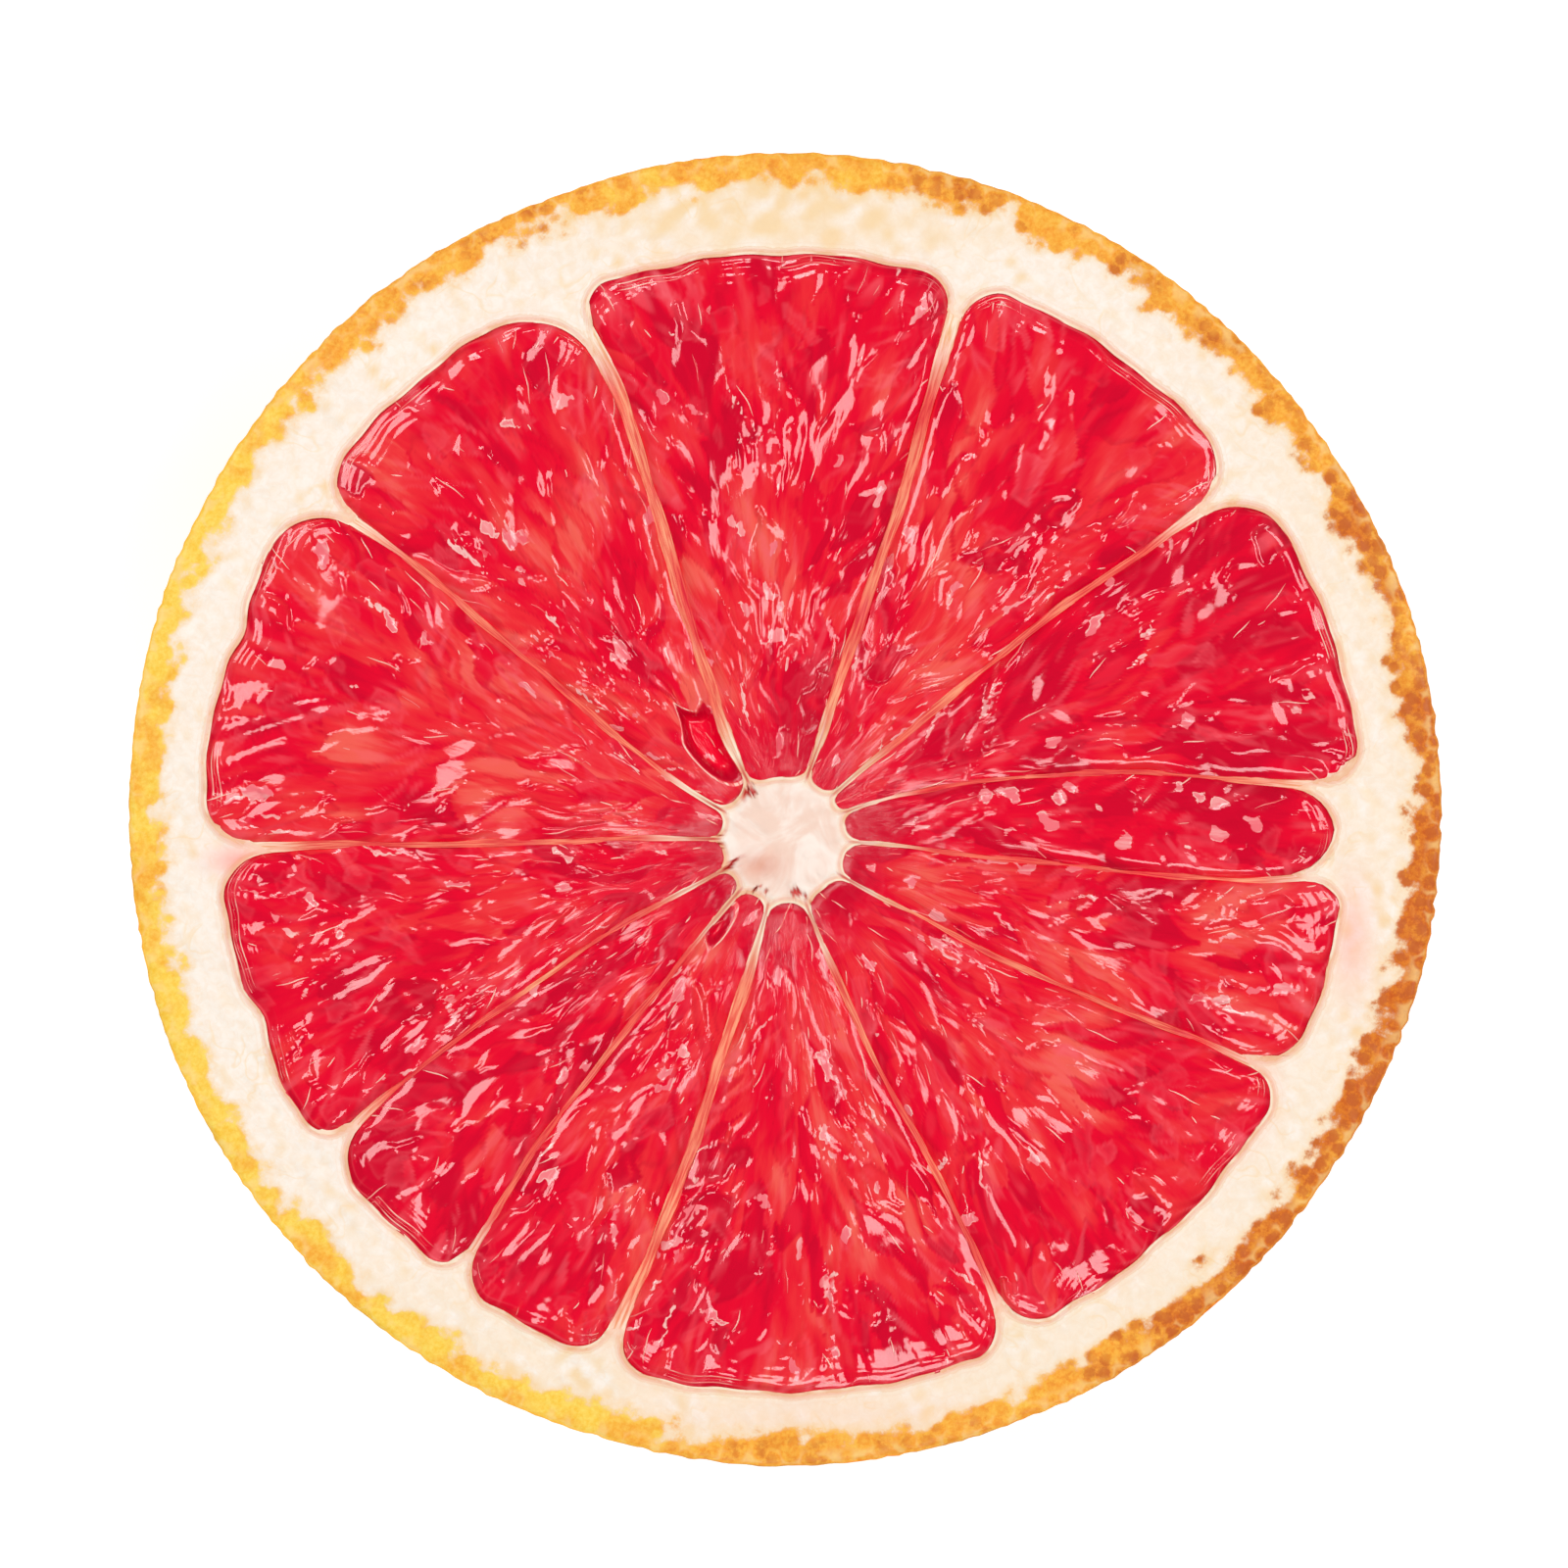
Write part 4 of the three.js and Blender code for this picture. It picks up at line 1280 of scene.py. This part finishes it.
class CutPith:
    """The cut face inside the skin, in rows from the middle of the core out to the skin."""

    def __init__(self, columns):
        self.columns = columns
        inner, outer, in_pocket = columns.inner, columns.outer, columns.in_pocket

        # straight rays from the middle of the core to the tips of the segments
        core_radius = np.linspace(0.06, 0.985, CORE_ROWS)[:, None] * inner
        core = around(core_radius, columns.angles(inner[None, :])[0], CORE_Y)

        # pockets and the membranes between them
        share = np.linspace(0.0, 1.0, POCKET_ROWS)[:, None]
        first = inner + WALL_FOOT
        last = outer - WALL_FOOT
        radius = np.concatenate([inner[None, :], first + (last - first) * share, outer[None, :]])
        pockets = around(radius, columns.angles(radius), CORE_Y)

        # pith: from the pockets' outer edge to the skin
        seam = around(rim_places(columns) - SKIN, columns.rim_angle)
        share = np.linspace(0.0, 1.0, PITH_ROWS + 1)[1:, None] ** 1.2
        pith = [start[-1] + (end - start[-1]) * share for start, end in zip(pockets, seam)]

        self.x, self.y = [np.concatenate(parts) for parts in zip(core, pockets, pith)]
        self.from_core = np.hypot(self.x, self.y - CORE_Y)
        row = np.arange(len(self.x))[:, None]
        last_row = CORE_ROWS + len(radius) - 1
        self.on_wall = (row >= CORE_ROWS) & (row <= last_row) & ~in_pocket
        self.on_floor = (row > CORE_ROWS) & (row < last_row) & in_pocket
        self.is_beyond = row >= last_row
        self.off_wall_end = np.hypot(self.x - pockets[0][-1], self.y - pockets[1][-1])

        places = np.stack(pockets, axis=-1)
        ends = [places[0, in_pocket], places[-1, in_pocket]]
        outline = np.concatenate([places[:, columns.sides()].reshape(-1, 2), *ends])
        self.edge = edge_distances(self.x, self.y, outline)
        self.core = smooth(5.4, 4.2, self.from_core)

        # parted walls and cracks are both red inside
        parted = parted_walls(self.x, self.y)
        crack = core_cracks(self.x, self.y)
        self.gap = np.maximum(parted, crack)
        self.gap_depth = 0.12 * parted + 0.5 * crack

    def height(self):
        x, y, from_core = self.x, self.y, self.from_core

        # the membranes stand up a little between core and pith, and so do the lips of the pockets
        height = HALF_HEIGHT + cut_relief(x, y) - self.gap_depth
        middle = smooth(9.0, 16.0, from_core) * smooth(43.0, 34.0, from_core)
        height += np.where(self.on_wall, middle * (0.10 + 0.08 * ripple([x, y], 4.0, 44)), 0.0)
        height += 0.06 * np.exp(-((self.edge / 0.4) ** 2)) * ~self.on_wall

        # the core is a low, fibrous dome
        whorl = warped(x, y, (0.4, 2.0, 74, 75))
        height += self.core * (0.25 + 0.035 * smooth(0.0, 1.5, from_core) * ripple(whorl, 2.4, 71))
        return np.where(self.on_floor, pocket_floor(from_core, self.columns.outer[None, :]), height)

    def nearest_walls(self):
        """Number of the membrane nearest to each point, and how many columns off its middle it is."""
        column = np.arange(self.columns.total)
        starts = np.append(self.columns.starts, self.columns.total)
        nearest = np.argmin(np.abs(column[:, None] - starts), axis=1)
        off_wall = np.where(self.on_wall, column - starts[nearest], 0)
        return np.broadcast_to(nearest, off_wall.shape), off_wall

    def layers(self, height):
        """All that the material reads, by name."""
        x, y, from_core = self.x, self.y, self.from_core
        wall_end = np.exp(-((self.off_wall_end / 1.4) ** 2)) * ~self.columns.in_pocket * self.is_beyond
        # painted glow: the pith beside the flesh is painted pink, standing in for red light bleeding into
        # it
        bleed_glow = 0.30 * np.exp(-self.edge / 0.5) * self.is_beyond * (0.6 + 0.4 * ripple([x, y], 12.0, 35))
        wall, off_wall = self.nearest_walls()
        pale = np.array(PALENESS + PALENESS[:1])[wall] + 0.30 * ripple([from_core, 9.0 * wall], 7.0, 45)
        return {
            "grain": np.stack([0.9 * off_wall, 0.35 * from_core, 3.0 * wall], axis=-1),
            "rim": rim_places(self.columns) - np.hypot(x, y),
            "wall": np.clip(self.on_wall + 0.7 * wall_end, 0.0, 1.0),
            "core": self.core,
            "edge": self.edge,
            "salmon": smooth(7.0, 12.5, from_core) * smooth(45.5, 38.0, from_core),
            "pale": np.clip(pale, 0.0, 1.0),
            "ripe": ripeness_and_side_shade(x, y, height),
            "blush": np.clip(pink_patches(x, y) + bleed_glow, 0.0, 1.0),
            "gap": np.clip(self.gap, 0.0, 1.0),
            "sunk": HALF_HEIGHT - height,
            "cloud": tan_clouds(x, y),
            "wander": skin_depth(x, y),
        }


def pith_piece(columns, material):
    face = CutPith(columns)
    height = face.height()
    share = np.linspace(0.0, 1.0, BOWL_ROWS + 1)[1:, None]
    hubs = [[0.0, CORE_Y, HALF_HEIGHT + 0.3], [0.0, 0.0, PITH_LIFT]]
    points, numbers = body_points((face.x, face.y, height), bowl(columns, share, PITH_LIFT), hubs)
    hub = len(points) - 2
    caps = [fan_faces(numbers[0], hub, flip=True), fan_faces(numbers[-1], hub + 1)]
    rest = {"rim": FAR_OFF, "edge": FAR_OFF}
    attributes = {}
    for key, values in face.layers(height).items():
        attributes[key] = padded(values, len(points), rest.get(key, 0.0))
    attributes["core"][hub] = 1.0

    under = around((1.0 + 0.05 * share) * (CUT_RADIUS - SKIN), columns.rim_angle)
    rows = np.stack([np.concatenate(pair) for pair in zip((face.x, face.y), under)], axis=-1)
    plan = np.concatenate([rows.reshape(-1, 2), [[0.0, CORE_Y], rows[-1, 0]]])
    plan = 0.5 + 0.5 * PLAN_SIZE * plan / CUT_RADIUS
    faces = [strip_rows(numbers), np.concatenate(caps)]
    piece = make_piece("pith_and_membranes", points, faces, attributes, plan, material, sharp=60.0)
    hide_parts("peel_and_membranes")


def skin_rows(columns):
    """Rows of the skin's outside: the cut ring, the dome and the flat spot with its scar."""
    rim = rim_places(columns)
    angle = columns.rim_angle

    # cut ring: from the pith to the rim
    share = np.linspace(0.0, 1.0, RING_ROWS)[:, None]
    ring = around(rim - SKIN * (1.0 - share), angle)
    ring_z = HALF_HEIGHT + cut_relief(*ring) - 0.18 * smooth(0.9, 1.0, share)

    # dome: from the rim down to the flat spot
    pole = math.asin(FLAT_RADIUS / CUT_RADIUS)
    half_axis = HALF_HEIGHT / math.cos(pole)
    turn = math.pi / 2.0 - (math.pi / 2.0 - pole) * np.linspace(0.004, 1.0, DOME_ROWS)[:, None]
    dome_z = HALF_HEIGHT - half_axis * np.cos(turn) * np.ones_like(rim)
    dome_radius = CUT_RADIUS * np.sin(turn) * (1.0 + (rim / CUT_RADIUS - 1.0) * dome_z / HALF_HEIGHT)
    dome = around(dome_radius, angle)
    places = [*dome, dome_z]
    bumps = 0.05 * ripple(places, 2.2, 51, 14) + 0.10 * ripple(places, 9.0, 52)
    bumps += 0.22 * ripple(places, 26.0, 53)
    fade = smooth(0.0, 6.0, HALF_HEIGHT - dome_z) * smooth(0.0, 2.5, dome_z)
    push = 1.0 + bumps * (0.15 + 0.85 * fade) * smooth(0.0, 1.0, dome_z) / np.maximum(dome_radius, 8.0)

    # flat spot with the scar
    flat_radius = np.array(FLAT_RINGS)[:, None] * np.ones_like(rim)
    flat = around(flat_radius, angle)
    flat_z = SCAR_DEPTH * smooth(SCAR_RADIUS, 0.9, flat_radius)

    x, y = [np.concatenate([first, second * push, third]) for first, second, third in zip(ring, dome, flat)]
    return x, y, np.concatenate([ring_z, dome_z, flat_z])


def skin_plan(outside, angle, share):
    """The skin laid out flat round its pole, with the hidden rows along its edge."""
    steps = np.sqrt(sum(np.diff(part, axis=0) ** 2 for part in outside))
    run = np.append(0.0, np.cumsum(steps.mean(axis=1)))
    far = 0.02 + 0.46 * (run[-1] - run) / run[-1]
    hidden = far[0] + 0.015 * (1.05 - share)[::-1]
    rows = np.stack(around(np.concatenate([far[:, None], hidden]), angle), axis=-1)
    return 0.5 + np.concatenate([rows.reshape(-1, 2), [[0.0, 0.0], rows[len(far), 0]]])


def skin_piece(columns, material):
    outside = skin_rows(columns)
    x, y, z = outside
    share = np.linspace(1.0, 0.0, BOWL_ROWS + 1)[:-1, None]
    hubs = [[0.0, 0.0, SCAR_DEPTH], [0.0, 0.0, SKIN_LIFT]]
    points, numbers = body_points(outside, bowl(columns, share, SKIN_LIFT), hubs)
    hub = len(points) - 2
    seen, hidden = numbers[:len(x)], numbers[len(x):]
    quads = [strip_rows(seen), strip_rows(hidden), strip_faces(hidden[-1], seen[0])]
    caps = [fan_faces(seen[-1], hub), fan_faces(hidden[0], hub + 1, flip=True)]

    to_rim = np.zeros_like(x)
    to_rim[:RING_ROWS] = SKIN * np.linspace(1.0, 0.0, RING_ROWS)[:, None]
    layers = {
        "rim": to_rim,
        "edge": np.full_like(x, FAR_OFF),
        "ripe": ripeness_and_side_shade(x, y, z),
        "blush": pink_patches(x, y),
        "cloud": tan_clouds(x, y),
        "wander": skin_depth(x, y),
    }
    attributes = {key: padded(values, len(points)) for key, values in layers.items()}
    plan = skin_plan(outside, columns.rim_angle, share)
    faces = [np.concatenate(quads), np.concatenate(caps)]
    piece = make_piece("skin", points, faces, attributes, plan, material, sharp=60.0)
    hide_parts("peel_and_membranes")


# ---------------------------------------------------------------- stage, lights and camera

VIEW_WIDTH = 129.0  # width of the picture at the cut face
VIEW_Y = 2.1  # the picture's middle lies this far above the middle of the half
LENS = 100.0
SENSOR = 36.0


def make_floor():
    bpy.ops.mesh.primitive_plane_add(size=6.0)
    floor = bpy.context.object
    floor.name = "floor"
    shader = Shader("floor")
    floor.data.materials.append(shader.finish({
        "Base Color": (0.55, 0.55, 0.55, 1.0),
        "Roughness": 0.8,
        "Emission Color": (1.0, 1.0, 1.0, 1.0),
        "Emission Strength": 0.66,
    }))


def make_light(name, azimuth, elevation, distance, size, power):
    """A square soft light that faces the cut face. Azimuth is from +X, both angles in degrees."""
    lamp = bpy.data.lights.new(name, "AREA")
    lamp.shape = "SQUARE"
    lamp.size = size
    lamp.energy = power
    holder = bpy.data.objects.new(name, lamp)
    turn, lift = math.radians(azimuth), math.radians(elevation)
    holder.location = (
        distance * math.cos(turn) * math.cos(lift),
        distance * math.sin(turn) * math.cos(lift),
        HALF_HEIGHT * MM + distance * math.sin(lift),
    )
    holder.rotation_euler = (math.pi / 2.0 - lift, 0.0, turn + math.pi / 2.0)
    bpy.context.scene.collection.objects.link(holder)


def make_lights():
    world = bpy.data.worlds.new("room")
    world.use_nodes = True
    world.node_tree.nodes["Background"].inputs["Color"].default_value = (1.0, 1.0, 1.0, 1.0)
    world.node_tree.nodes["Background"].inputs["Strength"].default_value = 0.10
    bpy.context.scene.world = world
    make_light("soft_left", 150.0, 56.0, 1.1, 0.46, 5.2)
    make_light("soft_right", 15.0, 55.0, 1.1, 0.44, 4.6)
    make_light("soft_front", -80.0, 56.0, 1.1, 0.36, 3.4)
    make_light("spark", 95.0, 56.0, 1.1, 0.14, 0.8)


def make_camera():
    camera = bpy.data.objects.new("camera", bpy.data.cameras.new("camera"))
    camera.data.sensor_width = SENSOR
    camera.data.lens = LENS
    above = 0.5 * VIEW_WIDTH * MM / (0.5 * SENSOR / LENS)
    camera.location = (0.0, VIEW_Y * MM, HALF_HEIGHT * MM + above)
    camera.data.clip_start = 0.01
    camera.data.clip_end = 20.0
    bpy.context.scene.collection.objects.link(camera)
    bpy.context.scene.camera = camera


def main():
    bpy.context.scene.view_settings.view_transform = "Standard"
    make_camera()
    make_floor()
    make_lights()
    peel = peel_material()
    flesh = flesh_material()
    columns = Columns()
    pith_piece(columns, peel)
    skin_piece(columns, peel)
    for index in range(COUNT):
        flesh_piece(index, flesh)


main()
